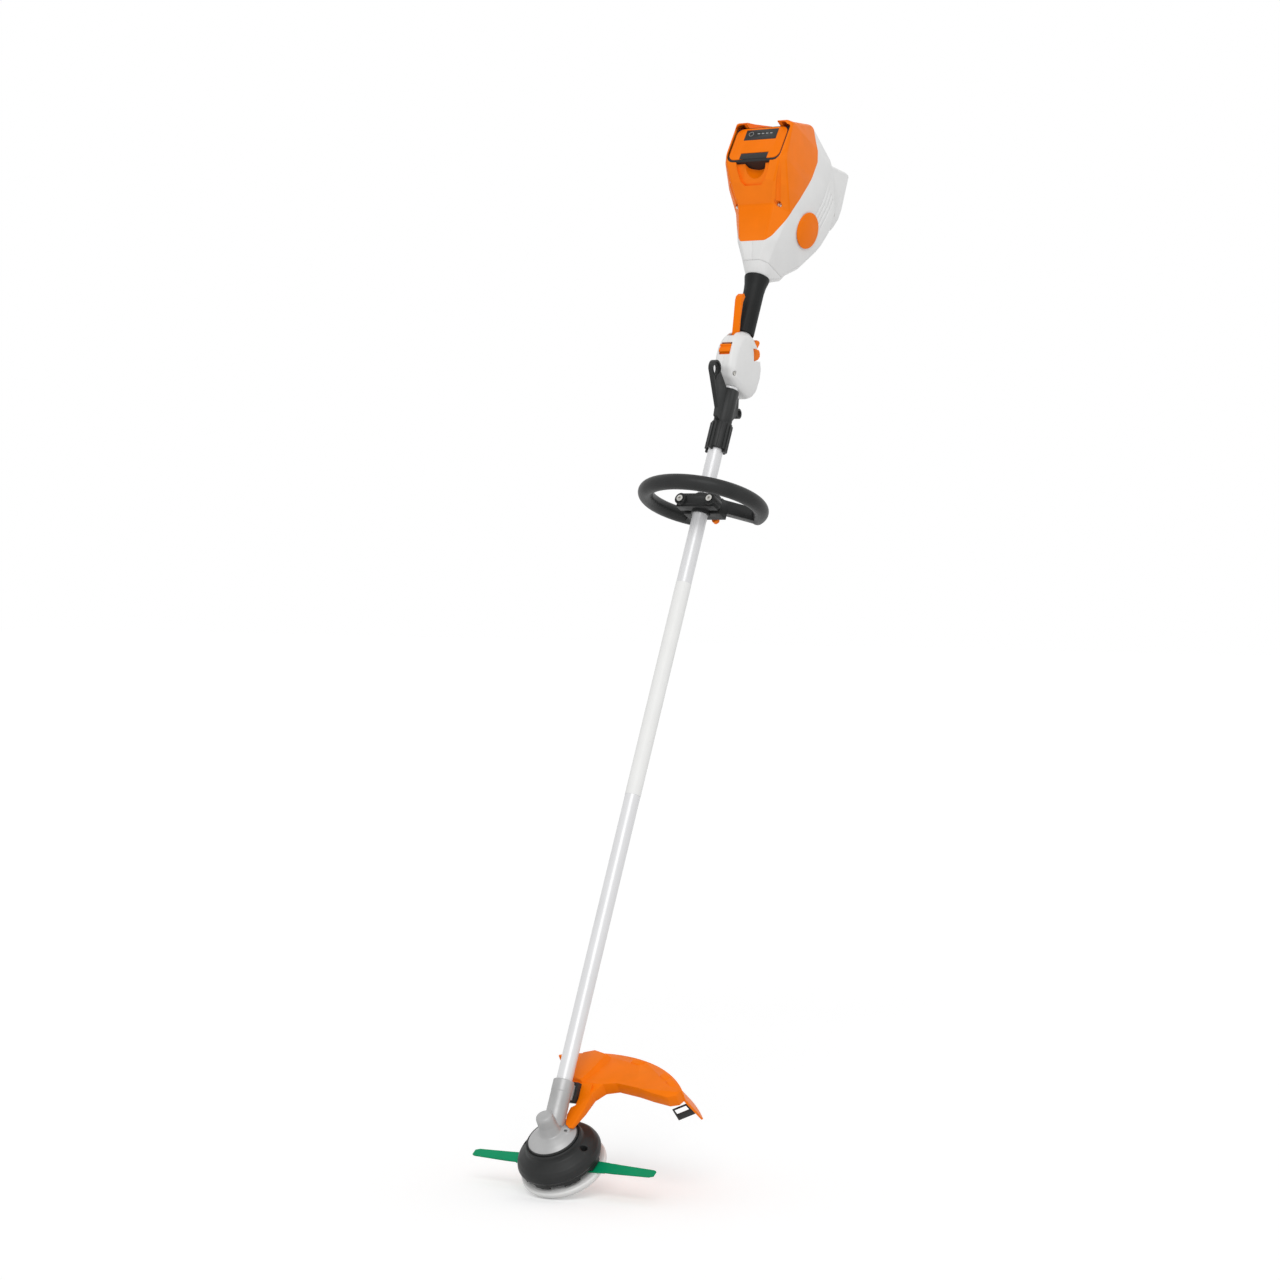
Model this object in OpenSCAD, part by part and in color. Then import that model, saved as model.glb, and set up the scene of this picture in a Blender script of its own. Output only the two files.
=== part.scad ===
// Battery brush cutter: straight drive tube, angled gearbox with a two-blade head,
// loop handle, control unit and a battery power head.
// The tool is built in its own frame (+Z up the drive tube from the point where the
// tube and spindle axes cross, +Y to the underside, +X to the user's left) and is
// then leaned to its working rest, with the origin at the harness eye.

/* [Pose] */
// Lean of the drive tube above the horizontal, in degrees
tube_lean = 65; // [40:1:80]
// Angle between the drive tube and the spindle, in degrees
spindle_angle = 58; // [54:1:62]

/* [Drive tube] */
// Outside diameter of the drive tube
tube_d = 25.4; // [24:0.1:27]
// Wall of the drive tube
tube_wall = 1.5; // [1:0.1:2.5]
// Bare length of tube between the gearbox socket and the ribbed sleeve
tube_run = 1090; // [1000:1:1200]
// Diameter of the drive shaft inside the tube
shaft_d = 8; // [7:0.5:9]
// Number of plain bushes that carry the drive shaft
bush_count = 4; // [2:1:6]
// Length of one bush
bush_len = 18; // [10:1:30]
// Length of the foil label on the tube
label_len = 372; // [200:1:420]
// Gap between the gearbox collar and the label
label_start = 474; // [400:1:500]

/* [Gearbox] */
// Depth of the tube socket in the gearbox
socket_depth = 40; // [30:1:44]
// Outside radius of the gearbox neck
neck_r = 16.4; // [16:0.1:18]
// Outside radius of the boss over the bevel gear
boss_r = 14; // [13.8:0.1:16]
// Height of the boss above the axis crossing
boss_h = 39.5; // [38:0.5:44]
// Radius of the gearbox flange above the head
flange_r = 39.5; // [38.5:0.5:44]
// Depth of the flange's lower face below the axis crossing
flange_drop = 9; // [8:0.5:11]
// Teeth on the bevel pinion
pinion_teeth = 15; // [12:1:18]
// Teeth on the bevel gear
gear_teeth = 20; // [18:1:24]
// Distance from the axis crossing to the outer end of the teeth
cone_distance = 20; // [19:0.5:21]
// Width of the bevel teeth
tooth_width = 6.5; // [5:0.5:7]

/* [Cutting head] */
// Depth of the blade plane below the axis crossing
blade_drop = 60; // [58:0.5:64]
// Distance between the blade tips
cut_d = 335; // [300:1:360]
// Thickness of a blade
blade_t = 2.8; // [2:0.1:3.2]
// Distance from the spindle to each blade pin
blade_pin_r = 52; // [50:0.5:54]
// Diameter of a blade pin
blade_pin_d = 8; // [6:0.5:9]
// Largest radius of the head housing
head_r = 68; // [67:0.5:72]
// Radius of the glide plate
glide_r = 69; // [68:0.5:72]
// Height of the glide plate
glide_h = 14.5; // [12:0.5:18]
// Diameter of the spindle
spindle_d = 10; // [9:0.5:11]

/* [Deflector] */
// Radius of the deflector's upper rim
rim_r = 234; // [226:1:240]
// Outward flare of the skirt from the rim to its lower edge
skirt_flare = 15; // [8:1:24]
// Depth of the skirt's lower edge below the axis crossing
skirt_drop = 46; // [35:1:48]
// Height of the deflector's fold above the axis crossing
fold_h = 20; // [16:1:24]
// Wall of the deflector
guard_wall = 3.2; // [2.5:0.1:4]

/* [Loop handle] */
// Lean of the loop back from square to the tube, in degrees
loop_tilt = 5; // [0:0.5:8]
// Distance from the ribbed sleeve down to the clamp's top
loop_gap = 85; // [60:1:120]
// Radius of the loop to the middle of its grip tube
loop_r = 97; // [90:1:105]
// Diameter of the loop's grip tube
loop_tube_d = 26; // [24:0.5:28]
// Height of the handle clamp along the tube
clamp_h = 34; // [30:1:40]
// Distance between the two clamp screws
clamp_screw_gap = 56; // [52:1:60]

/* [Control unit] */
// Length of the ribbed sleeve
sleeve_len = 48; // [40:1:60]
// Outside radius over the sleeve's ribs
sleeve_r = 19.3; // [17.5:0.1:20]
// Length of the harness carrier
carrier_len = 62; // [58:1:68]
// Thickness of the carrier's fin
fin_t = 7; // [5:0.5:9]
// Radius of the strap eye's hole
strap_hole_r = 5.5; // [4:0.5:6.5]
// Half the width of the control housing
control_half_w = 21; // [20:0.5:24]
// Wall of the plastic housings
case_wall = 2.6; // [2:0.1:3]
// Radius of the rear grip
grip_r = 17.6; // [17:0.1:19]
// Length of the rear grip
grip_len = 108; // [100:1:112]
// Travel of the trigger towards the tube
trigger_travel = 4; // [2:0.5:5]
// Travel of the lockout lever, in degrees
lockout_travel = 7; // [3:1:8]
// Travel of the mode slider to each side of its middle
slider_travel = 3; // [2:0.5:4]

/* [Power head] */
// Half the greatest width of the power head
head_half_w = 60; // [58:0.5:66]
// Radius of the motor's stator
stator_r = 30; // [28:0.5:31]
// Width of the battery
battery_w = 98; // [94:0.5:100]
// Height of the battery
battery_h = 67; // [64:0.5:68]
// Length of the battery
battery_len = 148; // [140:1:152]
// Tilt of the battery bay from square to the tube, in degrees
battery_tilt = 9.2; // [5:0.1:12]
// Play between the battery and its bay on each side
battery_play = 0.5; // [0.3:0.1:0.8]

/* [Fits] */
// Radial play of a running shaft or pin
run_play = 0.06; // [0.03:0.01:0.1]
// Radial play of a seated part
seat_play = 0.02; // [0.01:0.01:0.05]
// Gap between neighbouring parts that do not touch
part_gap = 0.3; // [0.2:0.05:0.5]

/* [Hidden] */
$fn = 64;

// ---- places along the tube ----
tube_r = tube_d / 2;
tube_ir = tube_r - tube_wall;
collar_top = 86;
tube_start = collar_top - socket_depth;
sleeve_z = collar_top + tube_run;
carrier_z = sleeve_z + sleeve_len;
control_z = carrier_z + carrier_len;
grip_z = control_z + 106;
collar_z = grip_z + grip_len + part_gap;
collar_len = 19.5;
power_z = collar_z + collar_len;
tube_end = power_z + 12;
clamp_z = sleeve_z - loop_gap - clamp_h;
loop_z = clamp_z + clamp_h / 2 + 6;
shaft_r = shaft_d / 2;

// ---- bevel gears: both cones have their tip at the axis crossing ----
gear_ratio = pinion_teeth / gear_teeth;
pinion_cone = atan(sin(spindle_angle) / (1 / gear_ratio + cos(spindle_angle)));
gear_cone = spindle_angle - pinion_cone;
bearing_r = 13;
bearing_w = 7;
pinion_bearing_z = 30;

// ---- battery bay ----
face_y = -94;
face_z = power_z + 189;
bay_wall = 2;
bay_w = battery_w + 2 * battery_play;
bay_h = battery_h + 2 * battery_play;

// ---- control unit ----
pin_r = 1.5;
latch_pivot_at = [22, control_z + 97];
lockout_pivot = [-21, control_z + 86];
// The trigger slides in a slot that is level when the tool leans at 65 degrees
trigger_at = [24, control_z + 78];
trigger_slope = 25;
slider_half_w = 10.2;
slider_lip = 0.8;
control_inner = control_half_w - case_wall;
eye_at = [-61, carrier_z + 73];
eye_r = 5.5;
strap_at = [37, carrier_z + 38];

// ---- placing ----
module tool() {
  rotate([tube_lean - 90, 0, 0]) translate([0, -eye_at[0], -eye_at[1]]) children();
}
module on_spindle() { rotate([spindle_angle, 0, 0]) children(); }
module on_battery() { translate([0, face_y, face_z]) rotate([-battery_tilt, 0, 0]) children(); }
// Extrudes an outline drawn in the side view (Y, Z) across X
module across(w) {
  rotate([90, 0, 90]) translate([0, 0, -w / 2]) linear_extrude(w) children();
}
module ring(ro, ri, h) {
  difference() {
    cylinder(r = ro, h = h);
    translate([0, 0, -1]) cylinder(r = ri, h = h + 2);
  }
}
module both_sides() { for (s = [-1, 1]) scale([s, 1, 1]) children(); }
// A screw with a round head that lies on z = 0 and a shank that goes down
module screw(head_r, head_h, shank_r, len) {
  difference() {
    union() {
      cylinder(r = head_r, h = head_h, $fn = 32);
      translate([0, 0, -len]) cylinder(r = shank_r, h = len + 1, $fn = 32);
    }
    translate([0, 0, head_h * 0.4]) cylinder(r = head_r * 0.5, h = head_h, $fn = 6);
  }
}

// ================= tube =================
module drive_tube() {
  color("gainsboro") tool() translate([0, 0, tube_start])
    ring(tube_r, tube_ir, tube_end - tube_start);
}
module tube_label() {
  color("white") tool() translate([0, 0, collar_top + label_start])
    ring(tube_r + 0.25, tube_r + 0.02, label_len);
}
bush_pitch = (tube_end - tube_start - 120) / (bush_count - 1);
module tube_bushes() {
  color("ivory") tool() for (i = [0:bush_count - 1])
    translate([0, 0, tube_start + 50 + i * bush_pitch])
      ring(tube_ir - seat_play, shaft_r + run_play, bush_len);
}
module drive_shaft() {
  color("silver") tool() {
    translate([0, 0, tube_start + 8]) cylinder(r = shaft_r, h = shaft_top - tube_start - 8);
    translate([-drive_sq / 2, -drive_sq / 2, tube_start - 5])
      cube([drive_sq, drive_sq, shaft_top + 12 - tube_start + 5]);
  }
}
drive_sq = shaft_d * 0.66;
shaft_top = power_z + 14;

// ================= gearbox =================
flange_z = -flange_drop;
lower_bearing_z = -8;
upper_bearing_z = 23;
upper_bearing_r = 9.5;
gear_bore_r = 5;
module gear_housing() {
  color("darkgray") tool() difference() {
    union() {
      translate([0, 0, 14]) cylinder(r = neck_r, h = collar_top - 34);
      translate([0, 0, collar_top - 20]) cylinder(r = neck_r - 0.5, h = 1.2);
      translate([0, 0, collar_top - 18.8]) cylinder(r = neck_r + 0.3, h = 17.8);
      translate([0, 0, collar_top - 1]) cylinder(r1 = neck_r + 0.3, r2 = neck_r - 0.7, h = 1);
      on_spindle() {
        rotate_extrude() polygon([[0, -8], [flange_r - 1, -8], [flange_r, -7],
          [flange_r, -5.5], [32.5, -1], [24, 3.5], [18.5, 6], [17, 10], [boss_r + 0.6, 20],
          [boss_r, boss_h - 5], [boss_r - 1.4, boss_h - 1.5], [boss_r - 5, boss_h], [0, boss_h]]);
        lug_place() translate([0, 0, -7]) cylinder(r = 7, h = 11);
      }
      translate([0, neck_r - 2, collar_top - 26]) bracket_pad();
    }
    // socket for the drive tube
    translate([0, 0, tube_start]) cylinder(r = tube_r + seat_play, h = 60);
    // seats for the pinion bearings and the room below them
    translate([0, 0, pinion_bearing_z]) cylinder(r = bearing_r + seat_play, h = 40 - 24);
    translate([0, 0, 6]) cylinder(r = 11.4, h = 30);
    on_spindle() {
      translate([0, 0, -6]) cylinder(r = 12.4, h = upper_bearing_z + 6);
      translate([0, 0, upper_bearing_z - 1]) cylinder(r = upper_bearing_r + seat_play, h = 9);
      translate([0, 0, 29]) cylinder(r = 6, h = 5);
      translate([0, 0, -12]) cylinder(r = bearing_r + seat_play, h = 12);
      // relief under the flange
      translate([0, 0, -9]) ring(flange_r - 4, bearing_r + 4, 4.5);
      // hole for the locking pin
      lug_place() translate([0, 0, -2]) cylinder(r = lock_hole_r, h = 9);
    }
    // cross holes for the clamp and locating screws
    for (z = [72, 80]) translate([0, 0, z]) rotate([-90, 0, 0]) cylinder(r = 2.1, h = 30);
  }
}
lock_hole_r = 2.6;
// The lug with the hole that locks the head while its nut is turned
module lug_place() { translate([22, 8, 0]) rotate([0, 20, 0]) children(); }
bracket_z = collar_top - 26;
module bracket_pad() { translate([-11, 0, 0]) cube([22, 4.5, 24]); }
module wrap_guard_ring() {
  color("dimgray") tool() on_spindle() {
    translate([0, 0, flange_z + 0.2]) ring(flange_r + 1.5, flange_r + seat_play, 3.4);
  }
}
module gear_bearings() {
  color("lightsteelblue") tool() {
    for (i = [0, 1]) translate([0, 0, pinion_bearing_z + i * (bearing_w + 0.4)])
      ring(bearing_r, gear_bore_r + run_play, bearing_w);
    on_spindle() {
      translate([0, 0, lower_bearing_z]) ring(bearing_r, spindle_d / 2 + run_play, bearing_w);
      translate([0, 0, upper_bearing_z]) ring(upper_bearing_r, 4 + run_play, 6);
    }
  }
}
module gear_screws() {
  color("silver") tool() {
    for (z = [72, 80]) translate([0, bracket_out + part_gap, z]) rotate([-90, 0, 0])
      screw(4, 3, 2.05, bracket_out - tube_r - 1);
  }
}
module bevel_profile(teeth, pitch_r, ease) {
  step = 360 / teeth;
  difference() {
    circle(r = pitch_r + 0.8, $fn = teeth * 4);
    for (i = [0:teeth - 1]) rotate((i + 0.5) * step)
      polygon([[pitch_r - 1.3, -step * 0.0022 * pitch_r * (1 + ease)],
        [pitch_r + 1.2, -step * 0.0062 * pitch_r * (1 + ease)],
        [pitch_r + 1.2, step * 0.0062 * pitch_r * (1 + ease)],
        [pitch_r - 1.3, step * 0.0022 * pitch_r * (1 + ease)]]);
  }
}
module bevel_teeth(teeth, cone, turn) {
  translate([0, 0, cone_distance * cos(cone)]) mirror([0, 0, 1])
    linear_extrude(tooth_width * cos(cone), scale = 1 - tooth_width / cone_distance)
      rotate(turn) bevel_profile(teeth, cone_distance * sin(cone), 0.18);
}
pinion_face = cone_distance * cos(pinion_cone);
gear_face = cone_distance * cos(gear_cone);
module bevel_pinion() {
  color("slategray") tool() difference() {
    union() {
      bevel_teeth(pinion_teeth, pinion_cone, -90);
      translate([0, 0, pinion_face]) cylinder(r = 6, h = pinion_bearing_z - pinion_face - 0.2);
      translate([0, 0, pinion_face]) cylinder(r = gear_bore_r, h = tube_start + 7 - pinion_face);
    }
    translate([-drive_sq / 2 - 0.1, -drive_sq / 2 - 0.1, tube_start - 5.2])
      cube([drive_sq + 0.2, drive_sq + 0.2, 20]);
  }
}
module bevel_gear() {
  color("slategray") tool() on_spindle() difference() {
    union() {
      bevel_teeth(gear_teeth, gear_cone, 90 + 180 / gear_teeth);
      translate([0, 0, gear_face]) cylinder(r = 7, h = upper_bearing_z - 0.3 - gear_face);
    }
    cylinder(r = spindle_d / 2 + seat_play, h = 60);
  }
}
module spindle_shaft() {
  color("silver") tool() on_spindle() {
    translate([0, 0, -spindle_len]) cylinder(r = spindle_d / 2, h = spindle_len + upper_bearing_z - 0.3);
    translate([0, 0, upper_bearing_z - 0.3]) cylinder(r = 4, h = 7);
  }
}
spindle_len = blade_drop + glide_h + 3;
module thrust_plate() {
  color("silver") tool() on_spindle() translate([0, 0, -20])
    ring(24, spindle_d / 2 + seat_play, 4);
}

// ================= cutting head =================
lip_z = -blade_drop + blade_t / 2 + part_gap;
plate_z = -blade_drop - blade_t / 2 - part_gap;
pin_seat_z = lip_z + 12;
module head_body() {
  color("dimgray") tool() on_spindle() difference() {
    union() {
      rotate_extrude($fn = 96) polygon([[flange_r + 3.6, flange_z - 0.6], [flange_r + 5.5, -15],
        [flange_r + 7, -23], [head_r - 8, -33], [head_r - 1.5, -43], [head_r, -50],
        [head_r - 1.5, lip_z], [head_r - 5, lip_z], [head_r - 4, -50], [head_r - 5.5, -44],
        [head_r - 11, -36.5], [flange_r + 3.4, -26], [flange_r + 2.4, -15],
        [flange_r + 1.8, flange_z - 0.6]]);
      translate([0, 0, -32]) cylinder(r = 56, h = 3.5);
      translate([0, 0, lip_z]) cylinder(r = 12, h = -20.3 - lip_z);
      for (s = [0, 180]) rotate(s) {
        translate([blade_pin_r, 0, lip_z]) cylinder(r = 10, h = -34 - lip_z);
        translate([blade_pin_r - 6, 0, -33]) rotate([0, 14, 0]) cylinder(r = 12, h = 5);
      }
    }
    cylinder(r = spindle_d / 2 + seat_play, h = 200, center = true);
    for (s = [0, 180]) rotate(s) translate([blade_pin_r, 0, 0]) {
      translate([0, 0, -80]) cylinder(r = blade_pin_d / 2 + seat_play, h = 60);
      translate([0, 0, pin_seat_z]) cylinder(r = blade_pin_d / 2 + 2.6, h = 40);
    }
  }
}
module glide_plate() {
  color("whitesmoke") tool() on_spindle() difference() {
    translate([0, 0, plate_z]) rotate_extrude($fn = 96) polygon([[0, 0], [glide_r - 2, 0],
      [glide_r, -2], [glide_r, -6], [glide_r - 4, -glide_h + 2], [glide_r - 12, -glide_h],
      [glide_r - 14, -glide_h + 2.5], [glide_r - 18, -5], [18, -5], [18, -8], [0, -8]]);
    translate([0, 0, -120]) cylinder(r = spindle_d / 2 + seat_play, h = 100);
    for (s = [0, 180]) rotate(s) translate([blade_pin_r, 0, -80])
      cylinder(r = blade_pin_d / 2 + seat_play, h = 60);
  }
}
module blade_pins() {
  color("silver") tool() on_spindle() for (s = [0, 180]) rotate(s)
    translate([blade_pin_r, 0, 0]) {
      translate([0, 0, plate_z - 4.8]) cylinder(r = blade_pin_d / 2, h = pin_seat_z - plate_z + 5);
      translate([0, 0, pin_seat_z + 0.02]) difference() {
        cylinder(r = blade_pin_d / 2 + 2.2, h = 4);
        translate([0, 0, 2]) cylinder(r = 3, h = 4, $fn = 6);
      }
    }
}
module head_nut() {
  color("silver") tool() on_spindle() translate([0, 0, plate_z - 8.1]) mirror([0, 0, 1])
    difference() {
      union() {
        cylinder(r = 11, h = 1.8);
        cylinder(r = 9, h = 7.5, $fn = 6);
      }
      translate([0, 0, -1]) cylinder(r = spindle_d / 2 + seat_play, h = 20);
    }
}
blade_reach = cut_d / 2 - blade_pin_r;
module blade() {
  translate([blade_pin_r, 0, -blade_drop - blade_t / 2]) difference() {
    linear_extrude(blade_t) union() {
      circle(r = 12);
      polygon([[0, -12], [28, -10.6], [51, -9.3], [108, -7.2], [blade_reach, -4],
        [blade_reach, 6], [blade_reach - 4, 7.3], [50, 9.6], [35, 10.8], [0, 12]]);
    }
    translate([0, 0, -1]) cylinder(r = blade_pin_d / 2 + run_play, h = blade_t + 2);
    for (s = [-1, 1]) translate([30, s * 15, blade_t]) rotate([s * 40, 0, 0])
      translate([0, -6, 0]) cube([200, 12, 3]);
  }
}
module blade_left() { color("seagreen") tool() on_spindle() blade(); }
module blade_right() { color("seagreen") tool() on_spindle() rotate(180) blade(); }

// ================= deflector =================
end_angle = 41;
start_angle = 112;
// The rim's centre lies beside the spindle, so the skirt widens towards its outer end
rim_centre = [12, -47];
function rim_point(a, r) = rim_centre + [r * cos(a), r * sin(a)];
// Plan of the deflector about the spindle
function guard_plan(r) = concat(
  [[20, 13], [31, 17], [36, 50], [37, 82], [48, 100], [69, 107], [109, 101], [140, 94],
    [170, 89], [184, 94]],
  [for (i = [0:12]) rim_point(end_angle + i * (start_angle - end_angle) / 12, r)],
  [[-52, 150], [-24, 98], [-17, 80], [17.3, 80], [17.3, 57], [11, 52], [10.5, 38], [13.2, 29],
    [17, 20]]);
module guard_side(drop) {
  across(700) polygon([[-20, fold_h - 25 - drop], [100, fold_h - drop], [260, fold_h - 32 - drop],
    [260, -200], [-20, -200]]);
}
module guard_wedge(r) {
  translate([0, 0, -80]) linear_extrude(160) polygon(guard_plan(r));
}
module deflector() {
  color("darkorange") tool() difference() {
    union() {
      on_spindle() {
        // folded top plate
        intersection() {
          guard_side(0);
          difference() {
            guard_wedge(rim_r - 1.2);
            guard_side(guard_wall);
          }
        }
        // upright wall round its edge
        intersection() {
          guard_side(0);
          difference() {
            guard_wedge(rim_r - 1.2);
            translate([0, 0, -90]) linear_extrude(180) offset(delta = -guard_wall)
              polygon(guard_plan(rim_r - 1.2));
          }
          translate([-300, -300, -1]) cube([700, 700, 100]);
        }
        // flared skirt below the rim
        intersection() {
          guard_side(0);
          translate(rim_centre) rotate_extrude($fn = 128) polygon([[rim_r - guard_wall, 24],
            [rim_r, 24], [rim_r, 0], [rim_r + skirt_flare, -skirt_drop],
            [rim_r + skirt_flare - guard_wall, -skirt_drop], [rim_r - guard_wall, -1.6]]);
          translate([0, 0, -80]) linear_extrude(160) polygon(concat([rim_centre],
            [for (a = [end_angle - 0.4, 76, start_angle + 0.4]) rim_point(a, 320)]));
        }
      }
      // upright that is screwed to the bracket
      translate([-15, bracket_out + 0.02, 59]) cube([48, 3.6, 33]);
    }
    // room for the gearbox flange, its lug and the screws
    on_spindle() {
      translate([0, 0, -2]) cylinder(r1 = 38.5, r2 = 19, h = 9);
      lug_place() translate([0, 0, -10]) cylinder(r = 7.5, h = 30);
    }
    for (z = [72, 80]) translate([0, 0, z]) rotate([-90, 0, 0]) cylinder(r = 4.6, h = 60);
    for (x = [-12, 12]) translate([x, 0, 65]) rotate([-90, 0, 0]) cylinder(r = 2.1, h = 60);
  }
}
bracket_out = neck_r + 12;
module deflector_bracket() {
  color("black") tool() difference() {
    translate([-15, neck_r + 2.52, 58]) cube([30, 9.4, 32]);
    for (z = [72, 80]) translate([0, 0, z]) rotate([-90, 0, 0]) cylinder(r = 2.1, h = 60);
    for (x = [-12, 12]) translate([x, 20, 65]) rotate([-90, 0, 0]) cylinder(r = 1.8, h = 60);
  }
}
module deflector_screws() {
  color("silver") tool() for (x = [-12, 12])
    translate([x, bracket_out + 3.64, 65]) rotate([-90, 0, 0]) screw(3.6, 2.4, 1.75, 10);
}
// Radius of the skirt's inner face at a depth below the rim
function skirt_in(depth) = rim_r - guard_wall + depth * skirt_flare / skirt_drop;
module line_cutter() {
  color("black") tool() on_spindle() translate(rim_centre) rotate(end_angle + 1.2)
    rotate([90, 0, 0]) difference() {
      linear_extrude(3) polygon([[skirt_in(11) - 25, -11], [skirt_in(11) - 3 * part_gap, -11],
        [skirt_in(34) - 3 * part_gap, -34], [skirt_in(34) - 29, -34]]);
      translate([0, 0, -1]) linear_extrude(5) polygon([[skirt_in(13) - 23, -13],
        [skirt_in(13) - 4, -13], [skirt_in(23) - 4, -23], [skirt_in(23) - 24, -23]]);
    }
}

// ================= sleeve and harness carrier =================
module coupling_sleeve() {
  color("dimgray") tool() translate([0, 0, sleeve_z]) difference() {
    union() {
      cylinder(r = sleeve_r - 1.6, h = sleeve_len);
      for (i = [0:15]) rotate(i * 22.5) translate([0, -1.9, i % 4 == 0 ? -4 : 0])
        cube([sleeve_r, 3.8, sleeve_len - 3 + (i % 4 == 0 ? 4 : 0)]);
    }
    translate([0, 0, -5]) cylinder(r = tube_r + seat_play, h = sleeve_len + 10);
  }
}
module harness_carrier() {
  color("dimgray") tool() difference() {
    union() {
      translate([0, 0, carrier_z + 0.02]) cylinder(r = 15.6, h = carrier_len - 1);
      across(fin_t) translate([0, carrier_z]) polygon([[-13, 0.1], [-27, 3], [-29, 17],
        [-73, 65], [-74, 75], [-68, 85], [-54, 87], [-48, 83], [-46, 75], [-13, 57]]);
      across(8) translate([0, carrier_z]) polygon([[13, 4], [31, 30], [31, 46], [26, 60], [13, 61]]);
      across(8) translate(strap_at) circle(r = strap_hole_r + 3.2);
    }
    translate([0, 0, carrier_z - 1]) cylinder(r = tube_r + seat_play, h = carrier_len + 2);
    across(20) translate(strap_at) circle(r = strap_hole_r);
    across(20) hull() {
      translate(eye_at) circle(r = eye_r, $fn = 32);
      translate(eye_at + [5, -17]) circle(r = 1.6, $fn = 16);
    }
  }
}

// ================= loop handle =================
loop_tube_r = loop_tube_d / 2;
arm_angle = 43;
module loop_handle() {
  color("dimgray") tool() translate([0, 0, loop_z]) difference() {
    union() {
      rotate([loop_tilt, 0, 0]) {
        rotate(90 + arm_angle - 3) rotate_extrude(angle = 366 - 2 * arm_angle)
          translate([loop_r, 0]) circle(r = loop_tube_r);
        both_sides() rotate(90 - arm_angle)
          translate([24, -8, 2 - loop_tube_r]) cube([loop_r - 22, 16, 2 * loop_tube_r - 4]);
      }
      translate([-34, 2, clamp_mid - clamp_h / 2 + 3]) cube([68, 24, clamp_h - 6]);
    }
    translate([0, 0, -50]) cylinder(r = tube_r + 3.3, h = 100);
    for (s = [-1, 1]) translate([s * clamp_screw_gap / 2, -40, clamp_mid]) rotate([-90, 0, 0])
      cylinder(r = 3.1, h = 52);
    translate([0, 0, clamp_mid]) rotate([-90, 0, 0]) cylinder(r = 4.3, h = 60);
  }
}
clamp_mid = clamp_z + clamp_h / 2 - loop_z;
module handle_clamp() {
  color("dimgray") tool() translate([0, 0, clamp_z]) difference() {
    union() {
      cylinder(r = tube_r + 3, h = clamp_h);
      translate([-36, -22, 5]) cube([72, 16, clamp_h - 10]);
      for (s = [-1, 1]) translate([s * clamp_screw_gap / 2, -2, clamp_h / 2]) rotate([90, 0, 0])
        cylinder(r = 10, h = 26);
    }
    translate([0, 0, -1]) cylinder(r = tube_r + run_play, h = clamp_h + 2);
    for (s = [-1, 1]) translate([s * clamp_screw_gap / 2, -40, clamp_h / 2]) rotate([-90, 0, 0]) {
      cylinder(r = 3.1, h = 60);
      cylinder(r = 6.2, h = 14);
    }
    translate([0, 0, clamp_h / 2]) rotate([-90, 0, 0]) cylinder(r = 3, h = 40);
  }
}
module clamp_screws() {
  color("silver") tool() for (s = [-1, 1])
    translate([s * clamp_screw_gap / 2, -26.02, clamp_z + clamp_h / 2]) rotate([90, 0, 0])
      screw(5.6, 4, 3.05, 38);
}
module clamp_knob() {
  color("darkorange") tool() translate([0, 26.3, clamp_z + clamp_h / 2]) rotate([-90, 0, 0]) {
    cylinder(r = 7, h = 18);
    translate([0, 0, -13]) cylinder(r = 2.9, h = 14);
    rotate(55) both_sides() translate([4, -4, 6]) linear_extrude(9)
      polygon([[0, 0], [10, -2.5], [13.5, 0], [13.5, 6], [11, 8.5], [0, 8]]);
  }
}

// ================= control unit =================
// Cross sections of the housing: height, back, front, half width, flat half width
control_slices = [[4, -14, 40, 13, 8], [11, -30, 48, 18, 12], [24, -41, 54, 20.5, 14],
  [49, -44, 56, 21, 14], [64, -44, 53, 21, 13.5], [78, -42, 47, 20.5, 11], [92, -35, 37, 18.5, 7],
  [104, -16, 21, 15.5, 7]];
module control_loft(inset) {
  hull() for (s = control_slices)
    translate([0, 0, control_z + 4 + inset + (s[0] - 4) * (100 - 2 * inset) / 100])
      linear_extrude(0.1) slice_outline(s, inset, control_half_w / 21);
}
module trigger_frame() {
  translate([0, trigger_at[0], trigger_at[1]]) rotate([trigger_slope, 0, 0]) children();
}
module control_cuts() {
  // trigger slot, latch, lockout lever and slider windows
  trigger_frame() translate([-40, -11, -9.3]) cube([80, 80, 21.3]);
  across(8.4) translate([0, control_z]) polygon([[17, 88], [17, 103], [36, 125],
    [70, 125], [70, 88]]);
  across(13) translate([0, control_z]) polygon([[-60, 92], [-60, 130], [-17, 130], [-17, 80], [-25, 80]]);
  translate([-slider_half_w - part_gap, -60, control_z + 46.5])
    cube([2 * slider_half_w + 2 * part_gap, 22, 2 * slider_travel + 17]);
}
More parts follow.
